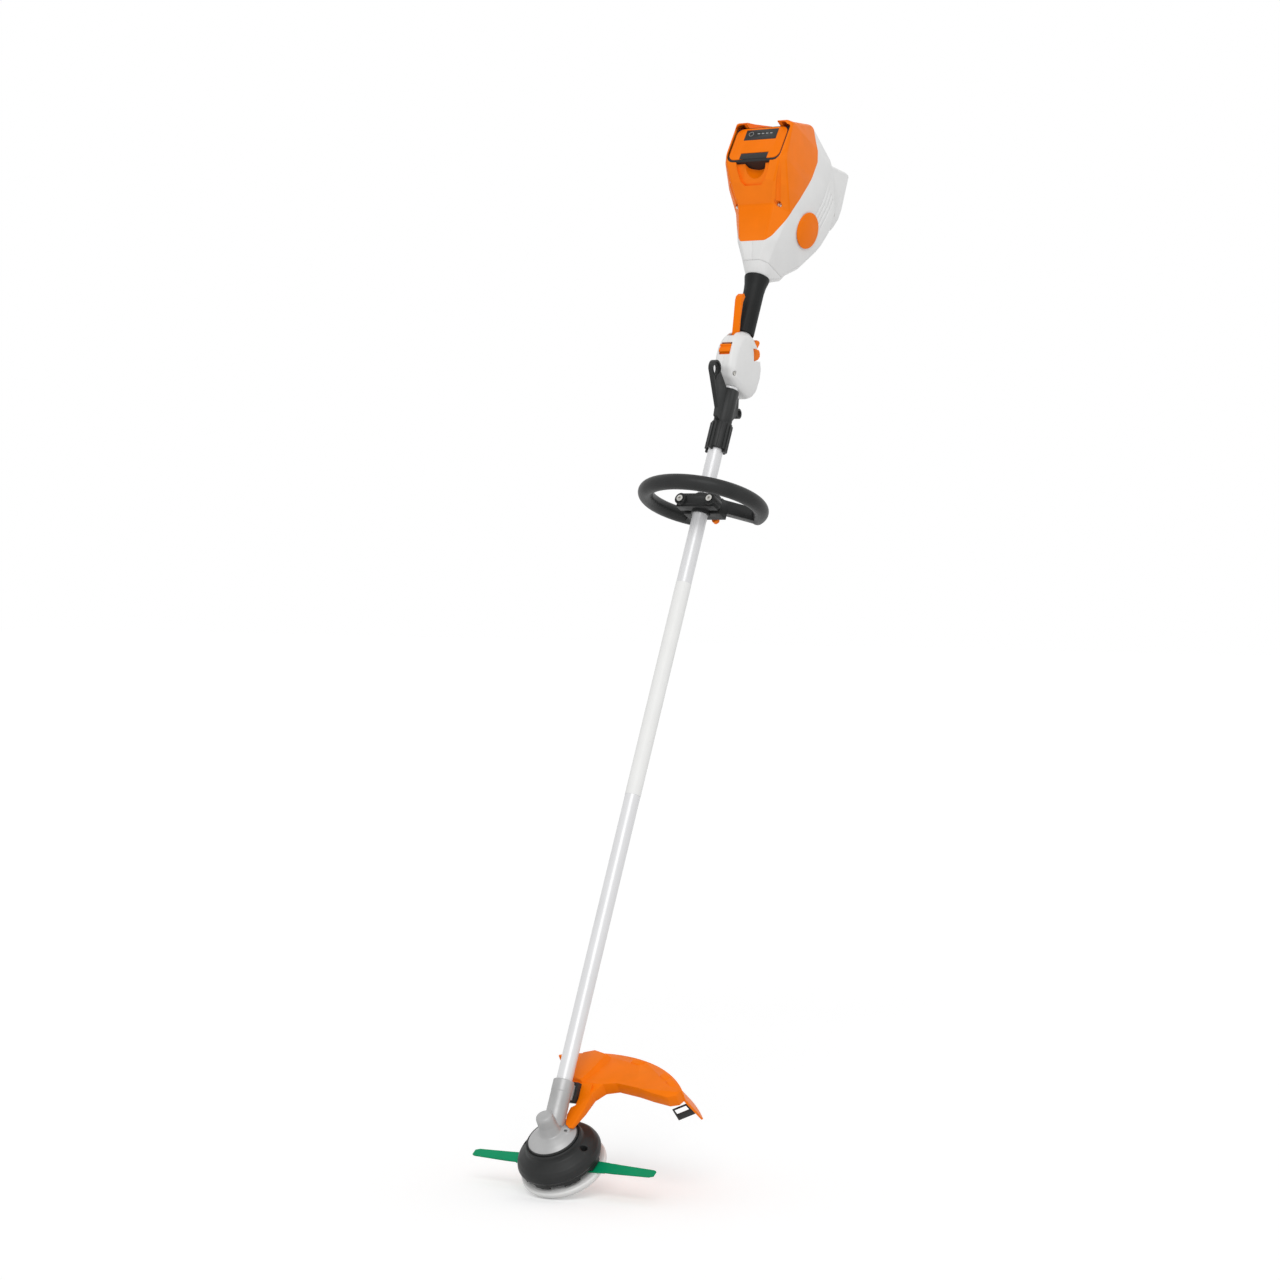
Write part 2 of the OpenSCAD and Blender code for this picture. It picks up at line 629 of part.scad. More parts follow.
module control_shell() {
  difference() {
    control_loft(0);
    difference() {
      control_loft(case_wall);
      // collars that hold the tube, bosses for the pins and the case screw
      translate([-40, -22, control_z]) cube([80, 44, 15]);
      translate([-40, -16, control_z + 95]) cube([80, 32, 20]);
      both_sides() for (p = [latch_pivot_at, lockout_pivot])
        translate([6.8, p[0], p[1]]) rotate([0, 90, 0]) cylinder(r = 3.6, h = 20);
      both_sides() translate([1, -27, control_z + 19]) rotate([0, 90, 0]) cylinder(r = 4.6, h = 30);
    }
    control_cuts();
    translate([0, 0, control_z - 10]) cylinder(r = tube_r + seat_play, h = 140);
    for (p = [latch_pivot_at, lockout_pivot]) translate([-12.1, p[0], p[1]]) rotate([0, 90, 0])
      cylinder(r = pin_r + seat_play, h = 24.2);
    case_screw_place() {
      translate([0, 0, -30]) cylinder(r = 1.6, h = 60);
      cylinder(r = 3.6, h = 20);
    }
    cable_channel();
  }
}
module case_screw_place() {
  translate([control_half_w - 4.5, -27, control_z + 19]) rotate([0, 90, 0]) children();
}
module half(side) {
  intersection() {
    children();
    translate([side > 0 ? 0.1 : -200.1, -400, 0]) cube([200, 900, 3000]);
  }
}
module control_housing_left() { color("whitesmoke") tool() half(1) control_shell(); }
module control_housing_right() { color("whitesmoke") tool() half(-1) control_shell(); }
module lever_pins() {
  color("silver") tool() for (p = [latch_pivot_at, lockout_pivot])
    translate([-12, p[0], p[1]]) rotate([0, 90, 0]) cylinder(r = pin_r, h = 24);
}
module control_board() {
  color("darkgreen") tool() translate([0, 0, control_z]) {
    translate([-control_inner + 1.6, 26, 24]) cube([2 * control_inner - 3.2, 1.6, 32]);
    translate([-6, 27.6, 27]) cube([12, 9, 18]);
    translate([4, 19, 38]) cube([9, 7, 13]);
  }
}
module lever(outline, w, pivot) {
  difference() {
    across(w) polygon([for (p = outline) p + [0, control_z]]);
    translate([-20, pivot[0], pivot[1]]) rotate([0, 90, 0]) cylinder(r = pin_r + run_play, h = 40);
  }
}
module trigger() {
  color("darkorange") tool() difference() {
    trigger_frame() across(23) polygon([[-10.5 + part_gap, -8.9], [8, -8.9], [20, -5.5], [26, 0],
      [26.5, 5], [24, 10], [21, 11.5], [-10.5 + part_gap, 11.5]]);
    translate([0, 0, control_z]) cylinder(r = tube_r + 1.5 + trigger_travel, h = 120);
    // room for the cable over the whole press
    translate([-cable_r - 0.6, 0, control_z])
      cube([2 * cable_r + 1.2, cable_y + cable_r + 0.5 + trigger_travel, 120]);
  }
}
module latch_lever() {
  color("darkorange") tool() lever([[18, 99], [18, 93.5], [20.5, 91.5], [24, 91.6], [38.5, 98],
    [44, 98.6], [49, 112], [49.5, 116], [46, 118], [38, 116], [31, 106], [24, 101.5]], 7.6,
    latch_pivot_at);
}
module lockout_lever() {
  color("darkorange") tool() lever([[-17.4, 82.5], [-24.6, 82.5], [-27, 96], [-34, 123], [-41.5, 150],
    [-41.5, 158], [-36.5, 165], [-30.5, 162], [-33, 150], [-28.6, 123], [-21.5, 98], [-17.4, 90]], 12,
    lockout_pivot);
}
module mode_slider() {
  color("darkorange") tool() translate([0, 0, control_z + 46.5 + slider_travel]) {
    translate([-slider_half_w, -46.5, 1.5]) cube([2 * slider_half_w, 6.5, 14]);
    translate([-slider_half_w - slider_lip, -40.4, -2])
      cube([2 * slider_half_w + 2 * slider_lip, 1.5, 19]);
  }
}
module rear_grip() {
  color("black") tool() translate([0, 0, grip_z]) difference() {
    rotate_extrude() polygon([[tube_r + seat_play, 0], [grip_r - 0.6, 0], [grip_r, 2],
      [grip_r, grip_len - 28], [grip_r + 1, grip_len - 16], [grip_r + 4, grip_len - 2],
      [grip_r + 4, grip_len], [tube_r + seat_play, grip_len]]);
    translate([0, 0, -grip_z]) cable_channel();
  }
}
// Route of the cable from the control board to the electronics
cable_y = tube_r + 1.7;
cable_path = [[24, 30], [cable_y, 52], [cable_y, 246], [36, 272], [36, 299.5]];
cable_r = 1.6;
module cable_run(i, r, over) {
  a = cable_path[i];
  d = cable_path[i + 1] - a;
  translate([0, a[0], control_z + a[1]]) rotate([-atan2(d[0], d[1]), 0, 0])
    translate([0, 0, -over]) cylinder(r = r, h = norm(d) + 2 * over);
}
module power_cable() {
  color("black") tool() {
    for (i = [0:len(cable_path) - 2]) cable_run(i, cable_r, 0);
    for (i = [1:len(cable_path) - 2]) translate([0, cable_path[i][0], control_z + cable_path[i][1]])
      sphere(r = cable_r + 0.1);
  }
}
// Straight channel for the cable along the tube
module cable_channel() { cable_run(1, 2, 2); }

// ================= power head =================
// Cross sections of the housing: height, back, front, half width, flat half width
low_slices = [[0, -29, 47, 25, 15], [12, -34, 52, 29, 18], [37, -44, 75, 39, 26],
  [90, -57, 108, 53, 34]];
high_slices = [[90, -57, 108, 53, 34], [121, -84, 113, 58, 40], [156, -99, 106, 60, 46],
  [170, -101, 100, 60, 46], [229, -98, 73, 56, 38], [241, -72, 67, 52, 34], [271, -14, -2, 42, 30]];
head_top = 271;
module slice_outline(s, inset, widen = head_half_w / 60) {
  half_w = s[3] * widen - inset;
  back = s[1] + inset;
  front = s[2] - inset;
  flat = s[4] - inset / 2;
  side = (half_w - flat);
  polygon([[-flat, back], [flat, back], [half_w, back + 1.4 * side], [half_w, front - side],
    [flat, front], [-flat, front], [-half_w, front - side], [-half_w, back + 1.4 * side]]);
}
module loft(slices, inset) {
  hull() for (s = slices)
    translate([0, 0, power_z + inset + s[0] * (head_top - 2 * inset) / head_top])
      linear_extrude(0.1) slice_outline(s, inset);
}
module power_solid(inset) {
  loft(low_slices, inset);
  loft(high_slices, inset);
}
module cover_region(grow) {
  across(400) translate([0, power_z]) offset(delta = grow) polygon([[-150, 10], [-47, 24],
    [-37, 37], [-30, 80], [-15, 125], [3, 175], [12, 210], [2, 245], [-6, 300], [-150, 300]]);
}

// Cross walls of the housing: height and thickness
cross_walls = [[3, 9], [27, 10], [48, 4], [84, 14], [114, 6]];
motor_z = power_z + 44;
module cross_slabs() {
  for (w = cross_walls) translate([-100, -150, power_z + w[0]]) cube([200, 300, w[1]]);
}
module electronics_box(grow) {
  translate([-35 - grow, 34 - grow, power_z + 66 - grow]) cube([70, 50, 47.5] + 2 * grow * [1, 1, 1]);
}
// Outside of the battery bay, in the battery's own frame
module bay_box(grow) {
  translate([-bay_w / 2 - grow, -60, -bay_h / 2 - grow])
    cube([bay_w + 2 * grow, 60 + battery_len + battery_play + grow, bay_h + 2 * grow]);
}
module cover_screw_places() {
  for (x = [-40, 40]) translate([x, -45, power_z + 94]) rotate([90, 0, 0]) children();
}
module power_housing() {
  difference() {
    power_solid(0);
    difference() {
      power_solid(case_wall);
      cross_slabs();
    }
    difference() {
      cover_region(part_gap);
      intersection() {
        power_solid(case_wall + 0.5);
        cross_slabs();
      }
    }
    translate([0, 0, power_z - 5]) cylinder(r = tube_r + seat_play, h = 17.05);
    translate([0, 0, power_z]) cylinder(r = 9, h = 60);
    translate([0, 0, power_z + 28]) cylinder(r = 11 + seat_play, h = 20);
    translate([0, 0, power_z + 40]) cylinder(r = stator_r + seat_play, h = 50.2);
    translate([0, 0, power_z + 40]) cylinder(r = 22, h = 70);
    translate([0, 0, power_z + 105]) cylinder(r = 9.5 + seat_play, h = 14);
    translate([0, 0, power_z + 110]) cylinder(r = 5.5, h = 15);
    electronics_box(part_gap);
    on_battery() bay_box(bay_wall + part_gap);
    cable_channel();
    for (i = [2, 3]) cable_run(i, 2.2, 1);
    cover_screw_places() {
      translate([0, 0, -30]) cylinder(r = 1.8, h = 40);
      cylinder(r = 4.6, h = 60);
    }
    foot_screw_places() translate([0, 0, -40]) cylinder(r = 1.8, h = 60);
  }
}
module motor_housing_left() { color("whitesmoke") tool() half(1) power_housing(); }
module motor_housing_right() { color("whitesmoke") tool() half(-1) power_housing(); }
module top_cover() {
  color("darkorange") tool() difference() {
    intersection() {
      power_solid(0);
      cover_region(0);
    }
    power_solid(case_wall);
    on_battery() bay_box(bay_wall + part_gap);
    // finger notch below the battery latch
    translate([0, 0, power_z]) rotate([90, 0, 0]) linear_extrude(200)
      polygon([[-27, 175], [27, 175], [20, 148], [14, 122], [-14, 122], [-20, 148]]);
    cover_screw_places() {
      translate([0, 0, -20]) cylinder(r = 2, h = 30);
      cylinder(r = 4.6, h = 60);
    }
  }
}
module neck_collar() {
  color("whitesmoke") tool() difference() {
    hull() {
      translate([0, 0, collar_z]) cylinder(r = grip_r + 2, h = 1, $fn = 32);
      translate([0, 0, power_z - part_gap - 0.1]) linear_extrude(0.1) slice_outline(low_slices[0], 0.6);
    }
    translate([0, 0, collar_z - 1]) cylinder(r = tube_r + seat_play, h = 40);
    cable_channel();
  }
}
module side_badge() {
  color("darkorange") tool() translate([low_slices[3][3] * head_half_w / 60 + 0.05, 36, power_z + 90])
    rotate([0, 90 + 12, 0]) cylinder(r = 31, h = 1.8);
}
foot_side = [[60, 200], [66, 241], [137, 263], [143, 256], [144.5, 190], [141, 167], [131, 145],
  [112, 128], [90, 130]];
foot_half_w = 46;
module foot_block(inset) {
  hull() {
    across(2 * (foot_half_w - inset) - 14) translate([0, power_z]) offset(delta = -inset)
      polygon(foot_side);
    across(2 * (foot_half_w - inset)) translate([0, power_z]) offset(delta = -6 - inset)
      polygon(foot_side);
  }
}
module foot_screw_places() {
  for (s = [-1, 1]) translate([s * (foot_half_w - 2.5), 118, power_z + 168]) rotate([0, s * 90, 0])
    children();
}
module rest_foot() {
  color("whitesmoke") tool() difference() {
    foot_block(0);
    difference() {
      foot_block(case_wall);
      for (s = [-1, 1]) translate([s * 30 - 15, 108, power_z + 162]) cube([30, 16, 12]);
    }
    power_solid(-part_gap);
    foot_screw_places() {
      translate([0, 0, -22]) cylinder(r = 1.82, h = 40);
      cylinder(r = 3.7, h = 20);
    }
  }
}
module case_screws() {
  color("silver") tool() {
    cover_screw_places() translate([0, 0, 0.02]) screw(4.2, 3, 1.75, 12);
    foot_screw_places() translate([0, 0, 0.02]) screw(3.4, 2, 1.75, 16);
    case_screw_place() translate([0, 0, 0.02]) screw(3.3, 2, 1.55, 28);
  }
}
module motor_stator() {
  color("brown") tool() translate([0, 0, motor_z]) difference() {
    cylinder(r = stator_r, h = 46);
    translate([0, 0, -1]) cylinder(r = 15, h = 48);
    for (i = [0:11]) rotate(i * 30) translate([stator_r - 9, -2, -1]) cube([5, 4, 48]);
  }
}
module motor_rotor() {
  color("dimgray") tool() translate([0, 0, motor_z + 1]) difference() {
    cylinder(r = 14, h = 44);
    translate([0, 0, -1]) cylinder(r = shaft_r + seat_play, h = 46);
    for (i = [0:7]) rotate(i * 45) translate([9, -2.5, -1]) cube([2, 5, 46]);
  }
}
module motor_shaft() {
  color("silver") tool() difference() {
    union() {
      translate([0, 0, shaft_top + part_gap]) cylinder(r = 8, h = 12.6);
      translate([0, 0, shaft_top + 12]) cylinder(r = shaft_r, h = power_z + 121 - shaft_top - 12);
    }
    translate([-drive_sq / 2 - 0.1, -drive_sq / 2 - 0.1, shaft_top])
      cube([drive_sq + 0.2, drive_sq + 0.2, 12.2]);
  }
}
module motor_bearings() {
  color("lightsteelblue") tool() {
    translate([0, 0, power_z + 28.2]) ring(11, shaft_r + run_play, 7);
    translate([0, 0, power_z + 113.5]) ring(9.5, shaft_r + run_play, 5.3);
  }
}
module cooling_fan() {
  color("dimgray") tool() translate([0, 0, power_z + 99]) difference() {
    union() {
      cylinder(r = 29, h = 1.6);
      cylinder(r = 8, h = 11);
      for (i = [0:10]) rotate(i * 360 / 11) translate([7, -0.8, 1]) cube([21.5, 1.6, 9]);
    }
    translate([0, 0, -1]) cylinder(r = shaft_r + seat_play, h = 14);
  }
}
module control_electronics() {
  color("seagreen") tool() electronics_box(0);
}
module battery_cradle() {
  color("dimgray") tool() difference() {
    intersection() {
      power_solid(part_gap);
      union() {
        on_battery() bay_box(bay_wall);
        // feet on the upper bearing wall
        for (x = [-30, 27]) translate([x, -40, power_z + 120.2]) cube([3, 88, 30]);
      }
    }
    on_battery() {
      bay_box(0);
      for (x = [-20, 0, 20]) terminal_slot(x, 0.2);
    }
  }
}
module terminal_slot(x, grow) {
  translate([x - 0.5 - grow, battery_len - 9, -6 - grow]) cube([1 + 2 * grow, 20, 12 + 2 * grow]);
}
module battery_terminals() {
  color("goldenrod") tool() on_battery() {
    translate([-28, battery_len + battery_play + bay_wall + 0.02, -9]) cube([56, 5, 18]);
    for (x = [-20, 0, 20]) translate([x - 0.5, battery_len - 8, -6]) cube([1, 13, 12]);
  }
}
cell_pitch = (battery_h - 6) / 3;
cell_gap = 0.4;
cell_len = (battery_len - 28) / 2;
latch_w = 53;
latch_top = -21;
latch_pivot = [4, latch_top - 3.5];
module battery_case() {
  color("darkorange") tool() on_battery() difference() {
    hull() {
      translate([-battery_w / 2 + 4, 0, -battery_h / 2]) cube([battery_w - 8, battery_len, battery_h]);
      translate([-battery_w / 2, 0, -battery_h / 2 + 4]) cube([battery_w, battery_len, battery_h - 8]);
    }
    translate([-2 * cell_pitch - 0.2, 13, -battery_h / 2 + 2.9])
      cube([4 * cell_pitch + 0.4, battery_len - 27, battery_h - 5.8]);
    // panel, button and latch recesses
    translate([-31.2, -1, 7.8]) cube([62.4, 2.6, 22.4]);
    translate([-20, -1, 21]) rotate([-90, 0, 0]) cylinder(r = 3.7, h = 5.5);
    translate([-latch_w / 2 - 0.3, -1, -battery_h / 2 - 1])
      cube([latch_w + 0.6, 12, latch_top + battery_h / 2 + 1.7]);
    translate([-latch_w / 2 - 2.3, latch_pivot[0], latch_pivot[1]]) rotate([0, 90, 0])
      cylinder(r = 1.5 + run_play, h = latch_w + 4.6);
    for (x = [-20, 0, 20]) translate([x - 1.2, battery_len - 11, -7.5]) cube([2.4, 20, 15]);
  }
}
module battery_cells() {
  color("mediumseagreen") tool() on_battery()
    for (k = [0, 1], i = [-1.5:1.5], j = [-1:1])
      translate([i * cell_pitch, 13.2 + k * (cell_len + cell_gap), j * cell_pitch])
        rotate([-90, 0, 0]) cylinder(r = cell_pitch / 2 - 0.05, h = cell_len, $fn = 24);
}
module battery_panel() {
  color("dimgray") tool() on_battery() difference() {
    translate([-31, 0, 8]) cube([62, 1.58, 22]);
    translate([-20, -1, 21]) rotate([-90, 0, 0]) cylinder(r = 3.4, h = 5);
  }
}
module battery_button() {
  color("black") tool() on_battery() translate([-20, -0.5, 21]) rotate([-90, 0, 0])
    cylinder(r = 3.2, h = 3);
}
module battery_latch() {
  color("black") tool() on_battery() {
    difference() {
      translate([-latch_w / 2, 0.4, -battery_h / 2 + 0.4])
        cube([latch_w, 5.6, latch_top + battery_h / 2 - 0.7]);
      translate([-latch_w / 2 + 3, 3, -battery_h / 2]) cube([latch_w - 6, 6, 7]);
    }
    translate([-latch_w / 2 - 2, latch_pivot[0], latch_pivot[1]]) rotate([0, 90, 0])
      cylinder(r = 1.5, h = latch_w + 4);
  }
}

drive_tube();
tube_label();
tube_bushes();
gear_housing();
wrap_guard_ring();
gear_bearings();
gear_screws();
deflector();
deflector_bracket();
deflector_screws();
line_cutter();
coupling_sleeve();
harness_carrier();
rear_grip();
control_housing_left();
control_housing_right();
control_board();
lever_pins();
motor_housing_left();
motor_housing_right();
top_cover();
neck_collar();
case_screws();
side_badge();
rest_foot();
motor_stator();
motor_bearings();
control_electronics();
battery_cradle();
battery_terminals();
power_cable();
motor_rotor();
motor_shaft();
cooling_fan();
drive_shaft();
bevel_pinion();
spindle_shaft();
bevel_gear();
thrust_plate();
head_body();
glide_plate();
blade_pins();
head_nut();
blade_left();
blade_right();
trigger();
latch_lever();
lockout_lever();
mode_slider();
battery_case();
battery_panel();
battery_cells();
battery_button();
battery_latch();
loop_handle();
handle_clamp();
clamp_screws();
clamp_knob();
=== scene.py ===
# Looks of the battery brush cutter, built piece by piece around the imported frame.
import math
import bmesh
import bpy
from mathutils import Matrix, Vector


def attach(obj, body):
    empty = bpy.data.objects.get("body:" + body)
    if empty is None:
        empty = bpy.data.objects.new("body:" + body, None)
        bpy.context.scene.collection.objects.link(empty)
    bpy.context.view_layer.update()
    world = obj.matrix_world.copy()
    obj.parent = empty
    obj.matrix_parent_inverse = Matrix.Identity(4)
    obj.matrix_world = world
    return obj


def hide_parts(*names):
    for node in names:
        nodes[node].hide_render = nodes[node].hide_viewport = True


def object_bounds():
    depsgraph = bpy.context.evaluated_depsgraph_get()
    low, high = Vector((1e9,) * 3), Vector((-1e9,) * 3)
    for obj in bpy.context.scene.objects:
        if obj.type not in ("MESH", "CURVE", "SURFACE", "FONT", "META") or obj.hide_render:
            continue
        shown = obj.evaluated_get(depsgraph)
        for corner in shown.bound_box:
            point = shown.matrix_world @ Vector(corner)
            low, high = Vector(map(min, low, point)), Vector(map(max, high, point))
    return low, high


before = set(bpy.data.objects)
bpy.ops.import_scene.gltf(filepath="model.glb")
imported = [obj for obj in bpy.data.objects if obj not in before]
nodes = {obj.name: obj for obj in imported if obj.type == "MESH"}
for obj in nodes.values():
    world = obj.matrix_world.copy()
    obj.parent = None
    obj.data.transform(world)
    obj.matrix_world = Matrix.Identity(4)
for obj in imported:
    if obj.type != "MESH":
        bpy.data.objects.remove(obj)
cad_low, cad_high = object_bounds()
MM = 0.001

# ---- The tool's own frame -------------------------------------------------
# The tool leans on its cutting head. Pieces are made in millimetres in the tool's frame,
# +Z up the drive tube from the point where the tube and spindle axes cross, and are then
# leaned into the shared frame, whose origin is the harness eye.
LEAN = math.radians(65)
EYE = Vector((0, -61, 1297))
SPINDLE = math.radians(58)
LEANED = Matrix.Rotation(LEAN - math.pi / 2, 4, "X") @ Matrix.Scale(MM, 4) @ Matrix.Translation(-EYE)
ON_SPINDLE = Matrix.Rotation(SPINDLE, 4, "X")
# Heights up the tube at which the carrier, the control unit and the power head begin
Z_CARRIER, Z_CONTROL, Z_POWER = 1224, 1286, 1519.8


# ---- Camera, floor and light ----------------------------------------------
# A long lens a few metres off, a little above the floor's level, with a plain pale
# floor that runs into a white surround and one soft, wide light from above the camera.
camera_data = bpy.data.cameras.new("camera")
camera_data.lens = 90.98
camera_data.sensor_width = 36
camera_data.clip_end = 60
camera = bpy.data.objects.new("camera", camera_data)
bpy.context.collection.objects.link(camera)
view_right = Vector((0.84805, 0.52992, 0))
view_back = Vector((0.52960, -0.84753, 0.03490))
view_up = view_back.cross(view_right)
camera.matrix_world = Matrix.Translation((2.7502, -4.63525, -0.26346)) @ Matrix((
    (view_right.x, view_up.x, view_back.x, 0), (view_right.y, view_up.y, view_back.y, 0),
    (view_right.z, view_up.z, view_back.z, 0), (0, 0, 0, 1)))
bpy.context.scene.camera = camera
bpy.context.scene.view_settings.view_transform = "Standard"


def new_nodes(material):
    material.use_nodes = True
    tree = material.node_tree
    tree.nodes.clear()
    return tree


def seen_directly(tree):
    # 1 for rays that show the background as it is: camera, mirror and glass rays
    path = tree.nodes.new("ShaderNodeLightPath")
    first = tree.nodes.new("ShaderNodeMath")
    first.operation = "MAXIMUM"
    second = tree.nodes.new("ShaderNodeMath")
    second.operation = "MAXIMUM"
    tree.links.new(path.outputs["Is Camera Ray"], first.inputs[0])
    tree.links.new(path.outputs["Is Glossy Ray"], first.inputs[1])
    tree.links.new(first.outputs[0], second.inputs[0])
    tree.links.new(path.outputs["Is Transmission Ray"], second.inputs[1])
    return second.outputs[0]


bpy.ops.object.select_all(action="DESELECT")
bpy.ops.mesh.primitive_plane_add(size=40, location=(0, 0, cad_low.z - 0.0005))
floor = bpy.context.object
floor.name = "floor"
bpy.ops.object.transform_apply(location=True, rotation=True, scale=True)
floor_material = bpy.data.materials.new("studio_floor")
tree = new_nodes(floor_material)
floor_out = tree.nodes.new("ShaderNodeOutputMaterial")
floor_matt = tree.nodes.new("ShaderNodeBsdfDiffuse")
floor_matt.inputs["Color"].default_value = (0.86, 0.86, 0.86, 1)
floor_glow = tree.nodes.new("ShaderNodeEmission")
floor_glow.inputs["Strength"].default_value = 0.23
floor_dark = tree.nodes.new("ShaderNodeEmission")
floor_dark.inputs["Strength"].default_value = 0
floor_mix = tree.nodes.new("ShaderNodeMixShader")
floor_add = tree.nodes.new("ShaderNodeAddShader")
tree.links.new(seen_directly(tree), floor_mix.inputs[0])
tree.links.new(floor_dark.outputs[0], floor_mix.inputs[1])
tree.links.new(floor_glow.outputs[0], floor_mix.inputs[2])
tree.links.new(floor_mix.outputs[0], floor_add.inputs[0])
tree.links.new(floor_matt.outputs[0], floor_add.inputs[1])
tree.links.new(floor_add.outputs[0], floor_out.inputs["Surface"])
floor.data.materials.append(floor_material)

world = bpy.data.worlds.new("surround")
bpy.context.scene.world = world
world.use_nodes = True
tree = world.node_tree
tree.nodes.clear()
world_out = tree.nodes.new("ShaderNodeOutputWorld")
world_light = tree.nodes.new("ShaderNodeBackground")
world_light.inputs["Strength"].default_value = 0.7
world_seen = tree.nodes.new("ShaderNodeBackground")
world_seen.inputs["Color"].default_value = (1, 1, 1, 1)
world_seen.inputs["Strength"].default_value = 1
world_mix = tree.nodes.new("ShaderNodeMixShader")
tree.links.new(seen_directly(tree), world_mix.inputs[0])
tree.links.new(world_light.outputs[0], world_mix.inputs[1])
tree.links.new(world_seen.outputs[0], world_mix.inputs[2])
tree.links.new(world_mix.outputs[0], world_out.inputs["Surface"])
world_light.inputs["Color"].default_value = (1, 1, 1, 1)

key_light = bpy.data.lights.new("key_light", "SUN")
key_light.energy = 1.1
key_light.angle = math.radians(35)
key = bpy.data.objects.new("key_light", key_light)
bpy.context.collection.objects.link(key)
key.rotation_euler = Vector((0.42, -0.68, 0.6)).to_track_quat("Z", "Y").to_euler()


# ---- Drive tube -----------------------------------------------------------
# Drawn aluminium tube of one inch, sprayed light silver grey with a clear coat.
# It takes the gearbox at its foot and the power head at its top.
def finish(name, colour, roughness, grain=1500, depth=0.00003, mottle=0.06, wear=0.0,
           metallic=0.0, coat=0.0, stretch=(1, 1, 1), spread=0.08, specular=0.2):
    """A sprayed, moulded or cast finish: mottled colour, uneven gloss and a fine grain."""
    material = bpy.data.materials.new(name)
    tree = new_nodes(material)
    add, link = tree.nodes.new, tree.links.new
    out = add("ShaderNodeOutputMaterial")
    skin = add("ShaderNodeBsdfPrincipled")
    skin.inputs["Metallic"].default_value = metallic
    skin.inputs["Coat Weight"].default_value = coat
    skin.inputs["Coat Roughness"].default_value = 0.2
    skin.inputs["Specular IOR Level"].default_value = specular
    link(skin.outputs[0], out.inputs["Surface"])
    place = add("ShaderNodeTexCoord")
    turn = add("ShaderNodeMapping")
    turn.inputs["Scale"].default_value = stretch
    link(place.outputs["Object"], turn.inputs["Vector"])
    cloud = add("ShaderNodeTexNoise")
    cloud.inputs["Scale"].default_value = 28
    cloud.inputs["Detail"].default_value = 5
    link(turn.outputs[0], cloud.inputs["Vector"])
    tint = add("ShaderNodeValToRGB")
    tint.color_ramp.elements[0].position = 0.3
    tint.color_ramp.elements[1].position = 0.7
    tint.color_ramp.elements[0].color = [c * (1 - mottle) for c in colour] + [1]
    tint.color_ramp.elements[1].color = [min(1, c * (1 + mottle * 0.6)) for c in colour] + [1]
    link(cloud.outputs["Fac"], tint.inputs["Fac"])
    colour_out = tint.outputs["Color"]
    if wear:
        edge = add("ShaderNodeNewGeometry")
        rubbed = add("ShaderNodeValToRGB")
        rubbed.color_ramp.elements[0].position = 0.53
        rubbed.color_ramp.elements[1].position = 0.62
        rubbed.color_ramp.elements[1].color = (wear, wear, wear, 1)
        link(edge.outputs["Pointiness"], rubbed.inputs["Fac"])
        pale = add("ShaderNodeMix")
        pale.data_type = "RGBA"
        pale.inputs["B"].default_value = [min(1, c * 1.35 + 0.06) for c in colour] + [1]
        link(rubbed.outputs["Color"], pale.inputs["Factor"])
        link(tint.outputs["Color"], pale.inputs["A"])
        colour_out = pale.outputs["Result"]
    link(colour_out, skin.inputs["Base Color"])
    gloss = add("ShaderNodeTexNoise")
    gloss.inputs["Scale"].default_value = 60
    gloss.inputs["Detail"].default_value = 6
    link(turn.outputs[0], gloss.inputs["Vector"])
    span = add("ShaderNodeMapRange")
    span.inputs["To Min"].default_value = roughness - spread
    span.inputs["To Max"].default_value = roughness + spread
    link(gloss.outputs["Fac"], span.inputs["Value"])
    link(span.outputs[0], skin.inputs["Roughness"])
    fine = add("ShaderNodeTexNoise")
    fine.inputs["Scale"].default_value = grain
    fine.inputs["Detail"].default_value = 3
    link(turn.outputs[0], fine.inputs["Vector"])
    bump = add("ShaderNodeBump")
    bump.inputs["Strength"].default_value = 0.6
    bump.inputs["Distance"].default_value = depth
    link(fine.outputs["Fac"], bump.inputs["Height"])
    link(bump.outputs[0], skin.inputs["Normal"])
    return material


def dress(node, material):
    """A CAD node whose shape is right keeps it and gets its finish."""
    nodes[node].data.materials.clear()
    nodes[node].data.materials.append(material)
    for face in nodes[node].data.polygons:
        face.material_index = 0


tube_paint = finish("tube_paint", (0.70, 0.70, 0.71), 0.34, grain=900, depth=0.00001, mottle=0.03,
                    metallic=0.1, coat=0.3, stretch=(1, 1, 0.08), specular=0.5)
dress("drive_tube", tube_paint)

# ---- Foil label on the tube -----------------------------------------------
# A long wrapped foil on the tube between the gearbox and the loop handle, left bare.
label_foil = finish("label_foil", (0.80, 0.80, 0.79), 0.42, grain=400, depth=0.000008, mottle=0.02)
dress("tube_label", label_foil)

